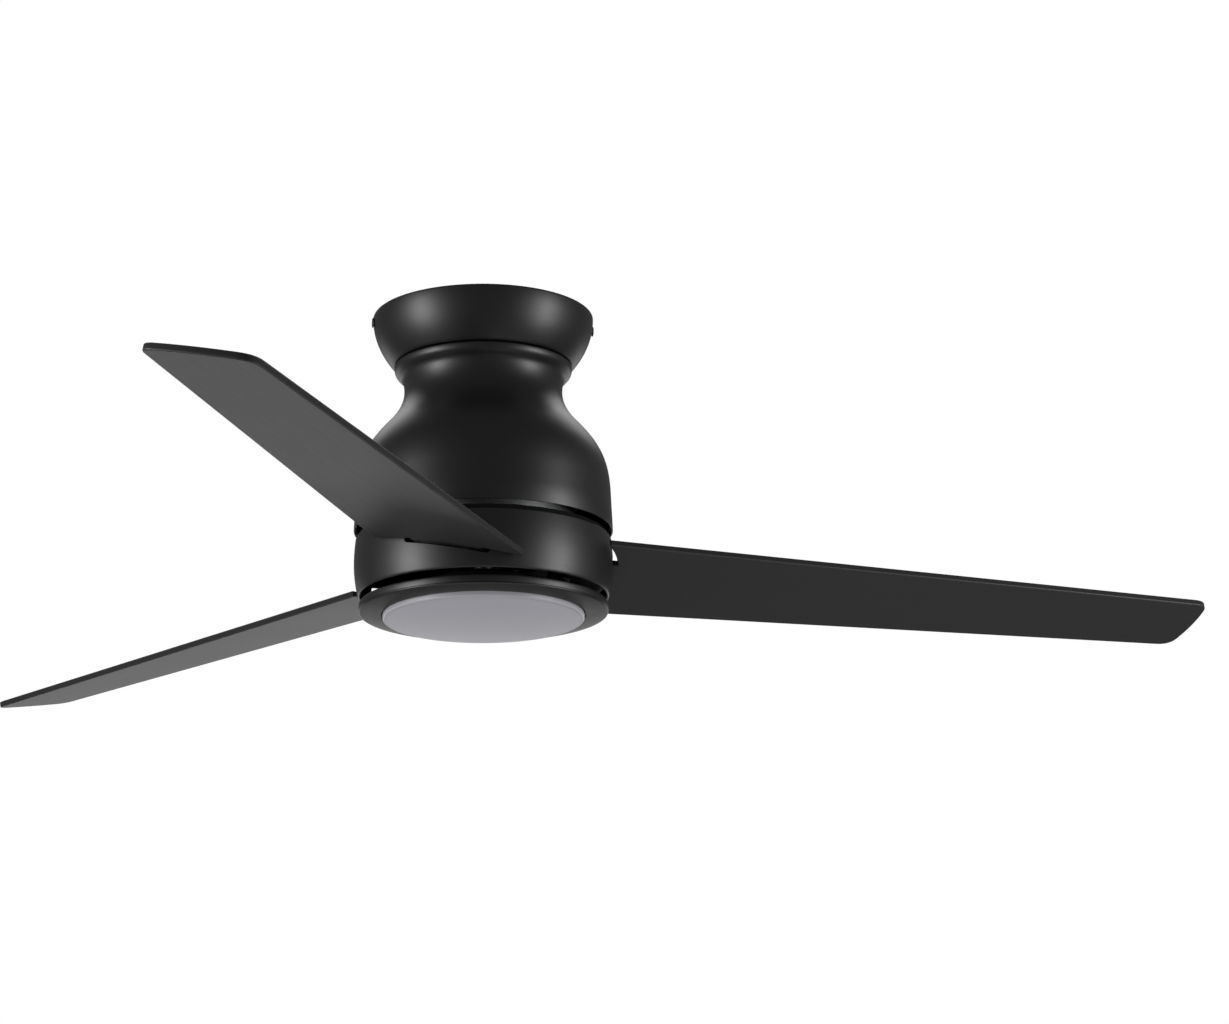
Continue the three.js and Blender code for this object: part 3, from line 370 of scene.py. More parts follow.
# ---------------------------------------------------------------- canopy
# The canopy is spun from thin sheet steel into a bowl, with a rolled rim against the ceiling and a
# turned-in floor. It is powder coated satin black. Two screws through its rim hold it to the bracket's
# ears.

CANOPY_RADIUS = 0.096
CANOPY_HEIGHT = 0.0434
CANOPY_MOUTH = 0.0784
CANOPY_FLOOR_HOLE = 0.066
CANOPY_WALL = 0.0014
CANOPY_SCREW_DROP = 0.0065
M4_HOLE = 0.0024
ROUND = 192


def satin_paint(name, dark, light, rough):
    """Powder coat: near black, with a fine orange peel over faint level marks from spinning."""
    finish = Finish(name)
    place = finish.place()
    cloud = finish.noise(place, 14, 3)
    peel = finish.noise(place, 1300, 2)
    drawn = finish.node("ShaderNodeMapping", {}, {"Vector": place, "Scale": (45.0, 45.0, 1100.0)})
    spinning = finish.noise(drawn, 1.0, 3, 0.6)
    return finish.set(
        base_color=finish.blend(cloud, dark, light),
        roughness=rough + cloud * 0.05 + spinning * 0.08,
        normal=finish.relief(peel * 0.5 + spinning, 0.00004, 0.3),
    )


def curve(start, pull, push, end, steps):
    """Points along a cubic curve, without its first."""
    points = []
    for i in range(1, steps + 1):
        t = i / steps
        weights = [(1 - t) ** 3, 3 * t * (1 - t) ** 2, 3 * t * t * (1 - t), t**3]
        corners = zip(weights, (start, pull, push, end))
        points.append(sum((Vector(p) * w for w, p in corners), Vector((0, 0))))
    return [tuple(p) for p in points]


def left_of(first, second):
    along = (Vector(second) - Vector(first)).normalized()
    return Vector((-along.y, along.x))


def set_over(path, distance):
    """The path moved sideways by the wall's thickness, with mitred corners."""
    moved = []
    for i, point in enumerate(path):
        sides = []
        if i > 0:
            sides.append(left_of(path[i - 1], point))
        if i < len(path) - 1:
            sides.append(left_of(point, path[i + 1]))
        middle = sum(sides, Vector((0, 0))).normalized()
        moved.append(tuple(Vector(point) + middle * distance / middle.dot(sides[0])))
    return moved


def spun(name, section, segments=ROUND):
    """A closed solid turned about Z from its section of (radius, height) points."""
    form = bmesh.new()
    rings = []
    for radius, height in section:
        if radius < 1e-7:
            rings.append([form.verts.new((0, 0, height))] * segments)
            continue
        ring = []
        for i in range(segments):
            angle = 2 * math.pi * i / segments
            ring.append(form.verts.new((radius * math.cos(angle), radius * math.sin(angle), height)))
        rings.append(ring)
    for a, b in zip(rings, rings[1:] + rings[:1]):
        for i in range(segments):
            j = (i + 1) % segments
            corners = list(dict.fromkeys([a[i], a[j], b[j], b[i]]))
            if len(corners) > 2:
                form.faces.new(corners)
    bmesh.ops.recalc_face_normals(form, faces=form.faces)
    mesh = mesh_of(form, name)
    shade_round(mesh)
    return mesh


def rounded_ends(path, wall, steps=3):
    """The section of a sheet that follows a path, its two cut edges rounded over."""
    inner = set_over(path, -wall)

    def cap(outside, inside, before):
        centre = (Vector(outside) + Vector(inside)) / 2
        away = (Vector(outside) - Vector(before)).normalized() * wall / 2
        side = (Vector(outside) - Vector(inside)) / 2
        turns = [math.pi * i / (steps + 1) for i in range(steps + 2)]
        return [tuple(centre + side * math.cos(t) + away * math.sin(t)) for t in turns]

    start = cap(path[0], inner[0], path[1])
    end = cap(path[-1], inner[-1], path[-2])
    return start[::-1] + path[1:-1] + end + inner[1:-1][::-1]


def carved(name, mesh, tools):
    """The mesh with the tool meshes cut out of it."""
    obj = set_down(name, mesh)
    helpers = []
    for i, tool in enumerate(tools):
        helper = set_down(f"{name}_tool_{i}", tool)
        helpers.append(helper)
        cut = obj.modifiers.new(f"cut_{i}", "BOOLEAN")
        cut.operation = "DIFFERENCE"
        cut.solver = "EXACT"
        cut.object = helper
    result = finished(obj)
    for helper in helpers:
        bpy.data.objects.remove(helper)
    shade_round(result)
    return result


def rod(radius, start, end, segments=32):
    """A plain round tool between two points."""
    form = bmesh.new()
    axis = Vector(end) - Vector(start)
    turn = axis.to_track_quat("Z", "Y").to_matrix().to_4x4()
    place = Matrix.Translation((Vector(start) + Vector(end)) / 2) @ turn
    bmesh.ops.create_cone(
        form, cap_ends=True, segments=segments, radius1=radius, radius2=radius,
        depth=axis.length, matrix=place,
    )
    return mesh_of(form, "rod")


black_paint = satin_paint("satin_black", (0.005, 0.005, 0.0052), (0.0075, 0.0075, 0.0078), 0.36)
bowl = [(CANOPY_RADIUS, -CANOPY_WALL / 2)]
bowl += curve(
    (CANOPY_RADIUS, -CANOPY_WALL / 2),
    (CANOPY_RADIUS, -CANOPY_HEIGHT * 0.415),
    (CANOPY_RADIUS - 0.0085, -CANOPY_HEIGHT * 0.75),
    (CANOPY_MOUTH + 0.0006, -CANOPY_HEIGHT + 0.0009),
    40,
)
bowl += [(CANOPY_MOUTH - 0.0008, -CANOPY_HEIGHT), (CANOPY_FLOOR_HOLE, -CANOPY_HEIGHT)]
screw_hole = rod(M4_HOLE, (-0.12, 0, -CANOPY_SCREW_DROP), (0.12, 0, -CANOPY_SCREW_DROP))
canopy_mesh = carved("canopy_bowl", spun("canopy_bowl", rounded_ends(bowl, CANOPY_WALL)), [screw_hole])
piece("canopy_bowl", canopy_mesh, black_paint, "root", ["canopy"])

# ---------------------------------------------------------------- motor housing
# One deep spun shell: a lip under the canopy, a narrow neck and a bell over the motor, in the same satin
# black. The lip is drawn over softly into the neck, and the bell's lower edge is rolled.

HOUSING_WALL = 0.0014
HOUSING_TOP_HOLE = 0.021
HOUSING_SCREW_REACH = 0.036
M5_HOLE = 0.0029
LIP_RADIUS = 0.0772
LIP_HEIGHT = 0.0079
NECK_TOP_RADIUS = 0.0722
WAIST_RADIUS = 0.0686
WAIST_DROP = 0.067
SHOULDER_RADIUS = 0.0839
SHOULDER_DROP = 0.0991
SHOULDER_SLOPE = math.radians(43.5)
BELL_RADIUS = 0.1096
BELL_DROP = 0.156

housing_low, housing_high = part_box("motor_housing")
lip_top = housing_high.z
lip_foot = lip_top - LIP_HEIGHT
bell_mouth = housing_low.z
mouth_radius = housing_high.x
down_slope = Vector((math.sin(SHOULDER_SLOPE), -math.cos(SHOULDER_SLOPE)))
shoulder = Vector((SHOULDER_RADIUS, -SHOULDER_DROP))
neck_top = (NECK_TOP_RADIUS, lip_foot - 0.0015)
narrow = (WAIST_RADIUS, -WAIST_DROP)
bell = (BELL_RADIUS, -BELL_DROP)
housing_path = [(HOUSING_TOP_HOLE, lip_top), (LIP_RADIUS - 0.0012, lip_top)]
housing_path += curve(
    (LIP_RADIUS - 0.0012, lip_top),
    (LIP_RADIUS - 0.0003, lip_top),
    (LIP_RADIUS, lip_top - 0.0003),
    (LIP_RADIUS, lip_top - 0.0012),
    6,
)
housing_path += curve(
    (LIP_RADIUS, lip_top - 0.0012),
    (LIP_RADIUS, lip_top - 0.0048),
    (NECK_TOP_RADIUS + 0.0036, lip_foot + 0.0014),
    neck_top,
    14,
)
housing_path += curve(
    neck_top,
    (NECK_TOP_RADIUS - 0.0022, lip_foot - 0.0038),
    (WAIST_RADIUS, lip_foot - 0.0075),
    narrow,
    14,
)
housing_path += curve(
    narrow,
    (WAIST_RADIUS, -WAIST_DROP - 0.011),
    tuple(shoulder - down_slope * 0.0145),
    tuple(shoulder),
    20,
)
housing_path += curve(
    tuple(shoulder),
    tuple(shoulder + down_slope * 0.027),
    (BELL_RADIUS - 0.0014, -BELL_DROP + 0.024),
    bell,
    30,
)
housing_path += [(BELL_RADIUS + 0.0008, (bell_mouth - BELL_DROP) / 2), (mouth_radius, bell_mouth + 0.0012)]


def holes_round(radius, reach, level):
    """Three tools that drill a level sheet evenly round the axis."""
    tools = []
    for i in range(3):
        x = reach * math.cos(2 * math.pi * i / 3)
        y = reach * math.sin(2 * math.pi * i / 3)
        tools.append(rod(radius, (x, y, level + 0.002), (x, y, level - 0.004)))
    return tools


screw_holes = holes_round(M5_HOLE, HOUSING_SCREW_REACH, lip_top)
housing_mesh = spun("bell_housing", rounded_ends(housing_path, HOUSING_WALL))
housing_mesh = carved("bell_housing", housing_mesh, screw_holes)
piece("bell_housing", housing_mesh, black_paint, "root", ["motor_housing"])

# ---------------------------------------------------------------- shaft and its nuts
# The hollow steel shaft stands still. The motor turns round it, and the light hangs from its end between
# two nuts. A third nut locks its top in the mount plate. The light's lead, a sheathed cable, runs down
# inside it.

softened("shaft_tube", "hollow_shaft", 0.0003, steel, "root")
softened("top_nut", "shaft_nut", 0.0003, zinc, "root")
softened("hub_nut_above", "hub_nut_upper", 0.0003, zinc, "root")
softened("hub_nut_below", "hub_nut_lower", 0.0003, zinc, "root")


def dress(node, material):
    """A plain solid that stays as it is, with its own finish."""
    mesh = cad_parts[node].data
    mesh.materials.clear()
    mesh.materials.append(material)


lead_sheath = moulded_plastic("lead_sheath", (0.006, 0.006, 0.006), (0.011, 0.011, 0.011), 0.62, 0.00001)
dress("light_lead", lead_sheath)

# ---------------------------------------------------------------- motor
# An outside-rotor motor: coils on a laminated core that stands still, and a ring of magnets in a cast
# case that turns. All of it is out of sight in the bell. The plain solids serve, with the finish each
# really has.


def laminated_steel():
    """Thin stamped sheets in a stack: fine level lines on the sides."""
    finish = Finish("laminated_steel")
    place = finish.place()
    sheets = finish.node("ShaderNodeMath", {"operation": "SINE"}, {0: finish.parts(place)[2] * 12500})
    tint = finish.noise(place, 45, 3)
    return finish.set(
        base_color=finish.blend(tint, (0.1, 0.11, 0.13), (0.2, 0.21, 0.23)),
        metallic=1.0,
        roughness=0.42 + tint * 0.1,
        normal=finish.relief(sheets, 0.00004, 0.7),
    )


def enamelled_copper():
    """Wound copper wire under varnish."""
    finish = Finish("enamelled_copper")
    place = finish.place()
    turns = finish.node("ShaderNodeMath", {"operation": "SINE"}, {0: finish.parts(place)[2] * 7000})
    tint = finish.noise(place, 70, 3)
    return finish.set(
        base_color=finish.blend(tint, (0.36, 0.1, 0.03), (0.55, 0.19, 0.06)),
        metallic=0.9,
        roughness=0.3 + tint * 0.12,
        normal=finish.relief(turns, 0.00012, 0.9),
    )


def cast_metal(name, dark, light, metallic, rough, gloss=0.5):
    """A sand-blasted casting: an even grit, with a slow cloud in its tone."""
    finish = Finish(name)
    place = finish.place()
    grit = finish.noise(place, 900, 3)
    cloud = finish.noise(place, 20, 3)
    return finish.set(
        base_color=finish.blend(cloud, dark, light),
        metallic=metallic,
        specular_ior_level=gloss,
        roughness=rough + grit * 0.12,
        normal=finish.relief(grit, 0.00008, 0.6),
    )


cast_aluminium = cast_metal("cast_aluminium", (0.3, 0.31, 0.32), (0.45, 0.46, 0.47), 1.0, 0.42)
ferrite = cast_metal("ferrite", (0.03, 0.031, 0.033), (0.055, 0.056, 0.06), 0.2, 0.5)
dress("stator_core", laminated_steel())
dress("stator_windings", enamelled_copper())
dress("magnet_ring", ferrite)
dress("bearing_upper", steel)
dress("bearing_lower", steel)
softened("motor_case_top", "rotor_case_upper", 0.0005, cast_aluminium, "rotor")
softened("motor_case_base", "rotor_case_lower", 0.0005, cast_aluminium, "rotor")

# ---------------------------------------------------------------- blade carrier
# A cast plate bolted under the motor. Three sloped blocks under it give the blades their pitch, and its
# rim fills the gap between the bell and the ring. Its black is darker and duller: painted shade in the gap.

# Painted shade: a darker black than the shells, so the gap between the bell and the ring reads as shadow.
gap_shade_black = ((0.0025, 0.0025, 0.0026), (0.0035, 0.0035, 0.0036))
black_casting = cast_metal("black_casting", *gap_shade_black, 0.0, 0.75, 0.1)
softened("carrier_casting", "blade_carrier", 0.0004, black_casting, "rotor")

# ---------------------------------------------------------------- blade ring
# A spun ring that turns with the blades and hides their roots. Its walls are slightly barrelled, with a
# rolled upper edge, and a sloped slot lets each blade through.

RING_WALL = 0.0015
RING_LIP = 0.006
RING_TOP_RADIUS = 0.1096
RING_BELLY_RADIUS = 0.111
RING_FOOT_RADIUS = 0.1074
PARKED_TURN = math.radians(6.1)
BLADE_PITCH = math.radians(11.6)
BLADE_DROOP = math.radians(1.12)
BLADE_FALL = 0.0273
BLADE_THICK = 0.0054
TONGUE_HALF_WIDTH = 0.031
SLOT_HALF_WIDTH = 0.0375
SLOT_BELOW = 0.0026
SLOT_ABOVE = 0.003
TAB_HALF_WIDTH = 0.011
TAB_SCREW_REACH = 0.0946

ring_low, ring_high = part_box("blade_ring")


def blade_frame(index):
    """Where a blade lies: X out along it, -Y towards its high edge, and its underside at z = 0."""
    turn = Matrix.Rotation(PARKED_TURN + 2 * math.pi * index / 3, 4, "Z")
    droop = Matrix.Rotation(BLADE_DROOP, 4, "Y")
    pitch = Matrix.Rotation(-BLADE_PITCH, 4, "X")
    return Matrix.Translation((0, 0, ring_high.z - BLADE_FALL)) @ turn @ droop @ pitch


def block(low, high, place=None, rounding=0):
    """A box between two corners, turned into place, its upright edges rounded if asked."""
    form = bmesh.new()
    size = Vector(high) - Vector(low)
    middle = (Vector(high) + Vector(low)) / 2
    bmesh.ops.create_cube(form, size=1, matrix=Matrix.Translation(middle) @ Matrix.Diagonal((*size, 1)))
    if rounding:
        along_x = [e for e in form.edges if abs((e.verts[0].co - e.verts[1].co).x) > 1e-9]
        bmesh.ops.bevel(form, geom=along_x, offset=rounding, segments=5, affect="EDGES", profile=0.5)
    if place:
        form.transform(place)
    return mesh_of(form, "block")


ring_path = [(RING_TOP_RADIUS - RING_LIP, ring_high.z), (RING_TOP_RADIUS - 0.0012, ring_high.z)]
ring_path += curve(
    (RING_TOP_RADIUS - 0.0012, ring_high.z),
    (RING_TOP_RADIUS - 0.0004, ring_high.z),
    (RING_TOP_RADIUS, ring_high.z - 0.0004),
    (RING_TOP_RADIUS, ring_high.z - 0.0013),
    5,
)
ring_swell = 4 * (RING_BELLY_RADIUS - RING_TOP_RADIUS)
ring_drop = ring_high.z - ring_low.z
ring_path += curve(
    (RING_TOP_RADIUS, ring_high.z - 0.0013),
    (RING_TOP_RADIUS + ring_swell * 0.33, ring_high.z - ring_drop * 0.33),
    (RING_BELLY_RADIUS + ring_swell * 0.12, ring_high.z - ring_drop * 0.66),
    (RING_FOOT_RADIUS, ring_low.z + 0.0016),
    30,
)
ring_path += [(RING_FOOT_RADIUS - 0.0005, ring_low.z + 0.0006)]
slots = []
for i in range(3):
    slots.append(
        block(
            (0.1, -SLOT_HALF_WIDTH, -SLOT_BELOW),
            (0.13, SLOT_HALF_WIDTH, BLADE_THICK + SLOT_ABOVE),
            blade_frame(i),
            0.003,
        )
    )
ring_mesh = carved("blade_ring_shell", spun("ring", rounded_ends(ring_path, RING_WALL)), slots)
tab_screws = []
form = bmesh.new()
form.from_mesh(ring_mesh)
for i in range(3):
    turn = Matrix.Rotation(PARKED_TURN + math.radians(60 + 120 * i), 4, "Z")
    tab_low = (TAB_SCREW_REACH - 0.008, -TAB_HALF_WIDTH, ring_high.z - RING_WALL)
    tab_high = (RING_TOP_RADIUS - 0.0045, TAB_HALF_WIDTH, ring_high.z - 0.00001)
    tab = block(tab_low, tab_high, turn)
    spot = turn @ Vector((TAB_SCREW_REACH, 0, ring_high.z))
    tab = carved("tab", tab, [rod(M4_HOLE, spot + Vector((0, 0, 0.002)), spot - Vector((0, 0, 0.004)))])
    form.from_mesh(tab)
    tab_screws.append(spot)
form.to_mesh(ring_mesh)
form.free()
shade_round(ring_mesh)
piece("blade_ring_shell", ring_mesh, black_paint, "rotor", ["blade_ring"])

# ---------------------------------------------------------------- blades
# Each blade is a flat board faced with matt black film, tapered to a slanting, lightly bowed tip, its cut
# edges duller and darker, the darker tone a painted shade. Its root is hollowed to follow the ring, and a
# tongue runs in through the slot to a rubber cushion and its seat under the carrier.

BLADE_RADIUS = 0.6604
BLADE_EDGE = 0.001
ROOT_RADIUS = 0.115
ROOT_HIGH_WIDTH = 0.0684
ROOT_LOW_WIDTH = 0.0656
TIP_HIGH_WIDTH = 0.0406
TIP_LOW_WIDTH = 0.044
TIP_BULGE = 0.0035
HIGH_CORNER_ROUND = 0.011
LOW_CORNER_ROUND = 0.013
ROOT_CORNER_ROUND = 0.004
TONGUE_START = 0.058
EDGE_MARK = 8.0
SORT_WAY = Vector((1.0, 0.6180339, 0.4142135))


def blade_film():
    """A matt black film, its faint grain along the blade. The cut edge is duller, and darker as painted
    shade.
    """
    finish = Finish("blade_black")
    unwrapped = finish.node("ShaderNodeUVMap", {"uv_map": "along"}, {})
    mark = finish.parts(unwrapped)[1]
    # Upright edge faces: made duller, and set to the darkest tone as painted shade on the edge.
    dull_shaded_edge = finish.node("ShaderNodeMath", {"operation": "GREATER_THAN"}, {0: mark, 1: EDGE_MARK / 2})
    stretch = {"Vector": unwrapped, "Scale": (3.0, 90.0, 1.0)}
    drawn = finish.node("ShaderNodeMapping", {}, stretch)
    streaks = finish.noise(drawn, 4, 6, 0.6)
    cloud = finish.noise(finish.place(), 5, 2)
    grit = finish.noise(finish.place(), 2200, 1)
    return finish.set(
        base_color=finish.blend(
            (streaks * 0.6 + cloud * 0.4) * (1 - dull_shaded_edge), (0.011, 0.011, 0.0115), (0.021, 0.021, 0.022)
        ),
        roughness=0.44 + streaks * 0.1 + cloud * 0.04 + dull_shaded_edge * 0.42,
        normal=finish.relief(grit * 0.5 + streaks, 0.00003, 0.35),
    )


def rounded_corner(before, corner, after, size, steps=8):
    """A corner softened over its two sides by a length."""
    corner = Vector(corner)
    start = corner + (Vector(before) - corner).normalized() * size
    end = corner + (Vector(after) - corner).normalized() * size
    points = []
    for i in range(steps + 1):
        t = i / steps
        points.append(tuple(start * (1 - t) ** 2 + corner * 2 * t * (1 - t) + end * t * t))
    return points


def root_arc(width, side):
    """The root's hollow, from the tongue's side out to one corner."""
    inner = math.asin(TONGUE_HALF_WIDTH / ROOT_RADIUS)
    outer = math.asin(width / ROOT_RADIUS)
    angles = [inner + (outer - inner) * i / 24 for i in range(25)]
    return [(ROOT_RADIUS * math.cos(a), side * ROOT_RADIUS * math.sin(a)) for a in angles]


def blade_outline():
    """The blade's edge, from its tongue round by its high side, tip and low side."""
    high = root_arc(ROOT_HIGH_WIDTH, -1)
    low = root_arc(ROOT_LOW_WIDTH, 1)
    tip = []
    for i in range(-11, 12):
        share = i / 16
        width = TIP_HIGH_WIDTH if i < 0 else TIP_LOW_WIDTH
        tip.append((BLADE_RADIUS - TIP_BULGE * share * share, width * share))
    high_tip = (BLADE_RADIUS - TIP_BULGE, -TIP_HIGH_WIDTH)
    low_tip = (BLADE_RADIUS - TIP_BULGE, TIP_LOW_WIDTH)
    outline = [(TONGUE_START, TONGUE_HALF_WIDTH), (TONGUE_START, -TONGUE_HALF_WIDTH)]
    outline += high[:-3]
    outline += rounded_corner(high[-2], high[-1], high_tip, ROOT_CORNER_ROUND)
    outline += rounded_corner(high[-1], high_tip, tip[0], HIGH_CORNER_ROUND)
    outline += tip
    outline += rounded_corner(tip[-1], low_tip, low[-1], LOW_CORNER_ROUND)
    outline += rounded_corner(low_tip, low[-1], low[-2], ROOT_CORNER_ROUND)
    outline += low[:-3][::-1]
    return outline


def blade_board(index):
    """One blade in its place. Its upright faces carry EDGE_MARK in the map: the film's duller edge with
    painted shade.
    """
    form = bmesh.new()
    corners = [form.verts.new((x, y, 0)) for x, y in blade_outline()]
    base = form.faces.new(corners)
    raised = bmesh.ops.extrude_face_region(form, geom=[base])
    top = [v for v in raised["geom"] if isinstance(v, bmesh.types.BMVert)]
    bmesh.ops.translate(form, verts=top, vec=(0, 0, BLADE_THICK))
    bmesh.ops.recalc_face_normals(form, faces=form.faces)
    rims = [e for e in form.edges if abs(e.verts[0].co.z - e.verts[1].co.z) < 1e-6]
    bmesh.ops.bevel(form, geom=rims, offset=BLADE_EDGE, segments=3, affect="EDGES", profile=0.5)
    layer = form.loops.layers.uv.new("along")
    for face in form.faces:
        face.smooth = len(face.verts) < 8
        upright = abs(face.normal.z) < 0.1
        for loop in face.loops:
            loop[layer].uv = (loop.vert.co.x + index * 1.7, EDGE_MARK if upright else loop.vert.co.y)
    bmesh.ops.triangulate(form, faces=[f for f in form.faces if len(f.verts) > 8])
    # Sorted along one skew line, the mesh comes out in the same order at every run.
    form.verts.sort(key=lambda vert: vert.co.dot(SORT_WAY))
    form.faces.sort(key=lambda face: face.calc_center_median().dot(SORT_WAY))
    form.transform(blade_frame(index))
    return mesh_of(form, f"blade_board_{index + 1}")


blade_black = blade_film()
for i in range(3):
    piece(f"blade_board_{i + 1}", blade_board(i), blade_black, "rotor", [f"blade_{i + 1}"])

cushion_rubber = moulded_plastic("cushion_rubber", (0.005, 0.005, 0.005), (0.009, 0.009, 0.009), 0.75)
for i in range(3):
    softened(f"blade_pad_{i + 1}", f"blade_cushion_{i + 1}", 0.0002, cushion_rubber, "rotor")

# ---------------------------------------------------------------- light hub
# A pressed cup on the end of the still shaft, held between two nuts. The light's pan is screwed up to its
# flange, and the driver and the joints in its lead lie inside.

softened("hub_cup", "light_hub", 0.0004, black_paint, "root")
driver_case = moulded_plastic("driver_plastic", (0.7, 0.7, 0.67), (0.8, 0.8, 0.78), 0.42)
softened("driver_case", "led_driver", 0.0006, driver_case, "root")

# ---------------------------------------------------------------- light pan
# A shallow pan spun from sheet steel and painted satin black, which stands still under the turning ring.
# Its wall is the narrow band over the trim, and three screws hold its floor up to the hub's flange.

PAN_WALL = 0.0015
PAN_HOLE = 0.016
PAN_SCREW_REACH = 0.059

pan_low, pan_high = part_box("light_pan")
pan_radius = pan_high.x
pan_path = [(PAN_HOLE, pan_high.z), (pan_radius - 0.0022, pan_high.z)]
pan_path += curve(
    (pan_radius - 0.0022, pan_high.z),
    (pan_radius - 0.0006, pan_high.z),
    (pan_radius, pan_high.z - 0.0006),
    (pan_radius, pan_high.z - 0.0022),
    8,
)
pan_path += [(pan_radius, pan_low.z + PAN_WALL / 2)]
pan_holes = holes_round(M4_HOLE, PAN_SCREW_REACH, pan_high.z)
pan_mesh = carved("pan_shell", spun("pan", rounded_ends(pan_path, PAN_WALL)), pan_holes)
piece("pan_shell", pan_mesh, black_paint, "root", ["light_pan"])

# ---------------------------------------------------------------- LED board
# A ring of aluminium board bonded under the pan, with white solder mask on its face. Small LEDs under
# yellow phosphor are soldered round it, and shine down through the diffuser.

BOARD_BORE = 0.066
LED_COUNT = 24
LED_WIDTH = 0.0028
LED_HEIGHT = 0.0008
LED_RING_RADIUS = 0.0742

board_low, board_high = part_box("led_board")


def solder_mask():
    """White mask over copper, with the tracks just showing as rings."""
    finish = Finish("white_board")
    place = finish.place()
    tracks = finish.node("ShaderNodeMath", {"operation": "SINE"}, {0: finish.from_axis(place) * 2400})
    raised = finish.node("ShaderNodeMath", {"operation": "GREATER_THAN"}, {0: tracks, 1: 0.2})
    cloud = finish.noise(place, 40, 2)
    return finish.set(
        base_color=finish.blend(raised * 0.6 + cloud * 0.2, (0.8, 0.8, 0.78), (0.9, 0.9, 0.88)),
        roughness=0.35 + cloud * 0.1,
        normal=finish.relief(raised, 0.00004, 0.5),
    )


def phosphor():
    finish = Finish("led_phosphor")
    speck = finish.noise(finish.place(), 3000, 2)
    return finish.set(
        base_color=finish.blend(speck, (0.72, 0.55, 0.1), (0.86, 0.72, 0.22)),
        roughness=0.35 + speck * 0.1,
    )


def led_circle(count, radius, width, height, material):
    """A tree of nodes that sets small blocks round a circle, each turned to point out from the axis."""
    tree = bpy.data.node_groups.new("led_circle", "GeometryNodeTree")
    face = tree.interface
    face.new_socket("Geometry", in_out="INPUT", socket_type="NodeSocketGeometry")
    wants = {"Count": count, "Radius": radius, "Width": width, "Height": height}
    keys = {}
    for name, value in wants.items():
        kind = "NodeSocketInt" if name == "Count" else "NodeSocketFloat"
        socket = face.new_socket(name, in_out="INPUT", socket_type=kind)
        keys[name] = socket.identifier
    socket = face.new_socket("Material", in_out="INPUT", socket_type="NodeSocketMaterial")
    keys["Material"] = socket.identifier
    face.new_socket("Geometry", in_out="OUTPUT", socket_type="NodeSocketGeometry")
    nodes, links = tree.nodes, tree.links
    given = nodes.new("NodeGroupInput")
    circle = nodes.new("GeometryNodeMeshCircle")
    links.new(given.outputs["Count"], circle.inputs["Vertices"])
    links.new(given.outputs["Radius"], circle.inputs["Radius"])
    size = nodes.new("ShaderNodeCombineXYZ")
    links.new(given.outputs["Width"], size.inputs["X"])
    links.new(given.outputs["Width"], size.inputs["Y"])
    links.new(given.outputs["Height"], size.inputs["Z"])
    cube = nodes.new("GeometryNodeMeshCube")
    cube.inputs["Vertices X"].default_value = 3
    cube.inputs["Vertices Y"].default_value = 3
    links.new(size.outputs[0], cube.inputs["Size"])
    outward = nodes.new("GeometryNodeInputPosition")
    aim = nodes.new("FunctionNodeAlignRotationToVector")
    aim.axis = "X"
    links.new(outward.outputs[0], aim.inputs["Vector"])
    copies = nodes.new("GeometryNodeInstanceOnPoints")
    links.new(circle.outputs["Mesh"], copies.inputs["Points"])
    links.new(cube.outputs["Mesh"], copies.inputs["Instance"])
    links.new(aim.outputs["Rotation"], copies.inputs["Rotation"])
    real = nodes.new("GeometryNodeRealizeInstances")
    links.new(copies.outputs[0], real.inputs[0])
    coat = nodes.new("GeometryNodeSetMaterial")
    links.new(real.outputs[0], coat.inputs["Geometry"])
    links.new(given.outputs["Material"], coat.inputs["Material"])
    result = nodes.new("NodeGroupOutput")
    links.new(coat.outputs[0], result.inputs[0])
    holder = set_down("led_circle", bpy.data.meshes.new("led_circle"))
    modifier = holder.modifiers.new("circle", "NODES")
    modifier.node_group = tree
    for name, value in wants.items():
        modifier[keys[name]] = value
    modifier[keys["Material"]] = material
    return finished(holder)


board_bottom = board_low.z + LED_HEIGHT
board_section = [
    (BOARD_BORE, board_high.z),
    (board_high.x, board_high.z),
    (board_high.x, board_bottom),
    (BOARD_BORE, board_bottom),
]
board_mesh = spun("led_ring_board", board_section)
piece("led_ring_board", board_mesh, solder_mask(), "root", ["led_board"])
leds = led_circle(LED_COUNT, LED_RING_RADIUS, LED_WIDTH, LED_HEIGHT, phosphor())
leds.transform(Matrix.Translation((0, 0, board_bottom - LED_HEIGHT / 2)))
piece("leds", leds, None, "root", ["led_board"])

# ---------------------------------------------------------------- trim ring
# A spun ring in the same satin black, whose upstand sits inside the pan's wall. Its face slopes gently in
# and down to a bore that holds the diffuser, with three pockets behind it for the diffuser's lugs.

TRIM_BORE = 0.0873
TRIM_WALL = 0.0016
TRIM_FALL = 0.0031
LENS_RADIUS = 0.086
UPSTAND_HEIGHT = 0.0044
UPSTAND_WALL = 0.0014
LUG_SPAN = math.radians(12)
LUG_REACH = 0.0043
TWIST = math.radians(18)
NOTCH_HALF = math.radians(7.5) * LENS_RADIUS
NOTCH_START = 0.08
FACE_LIP = 0.0007

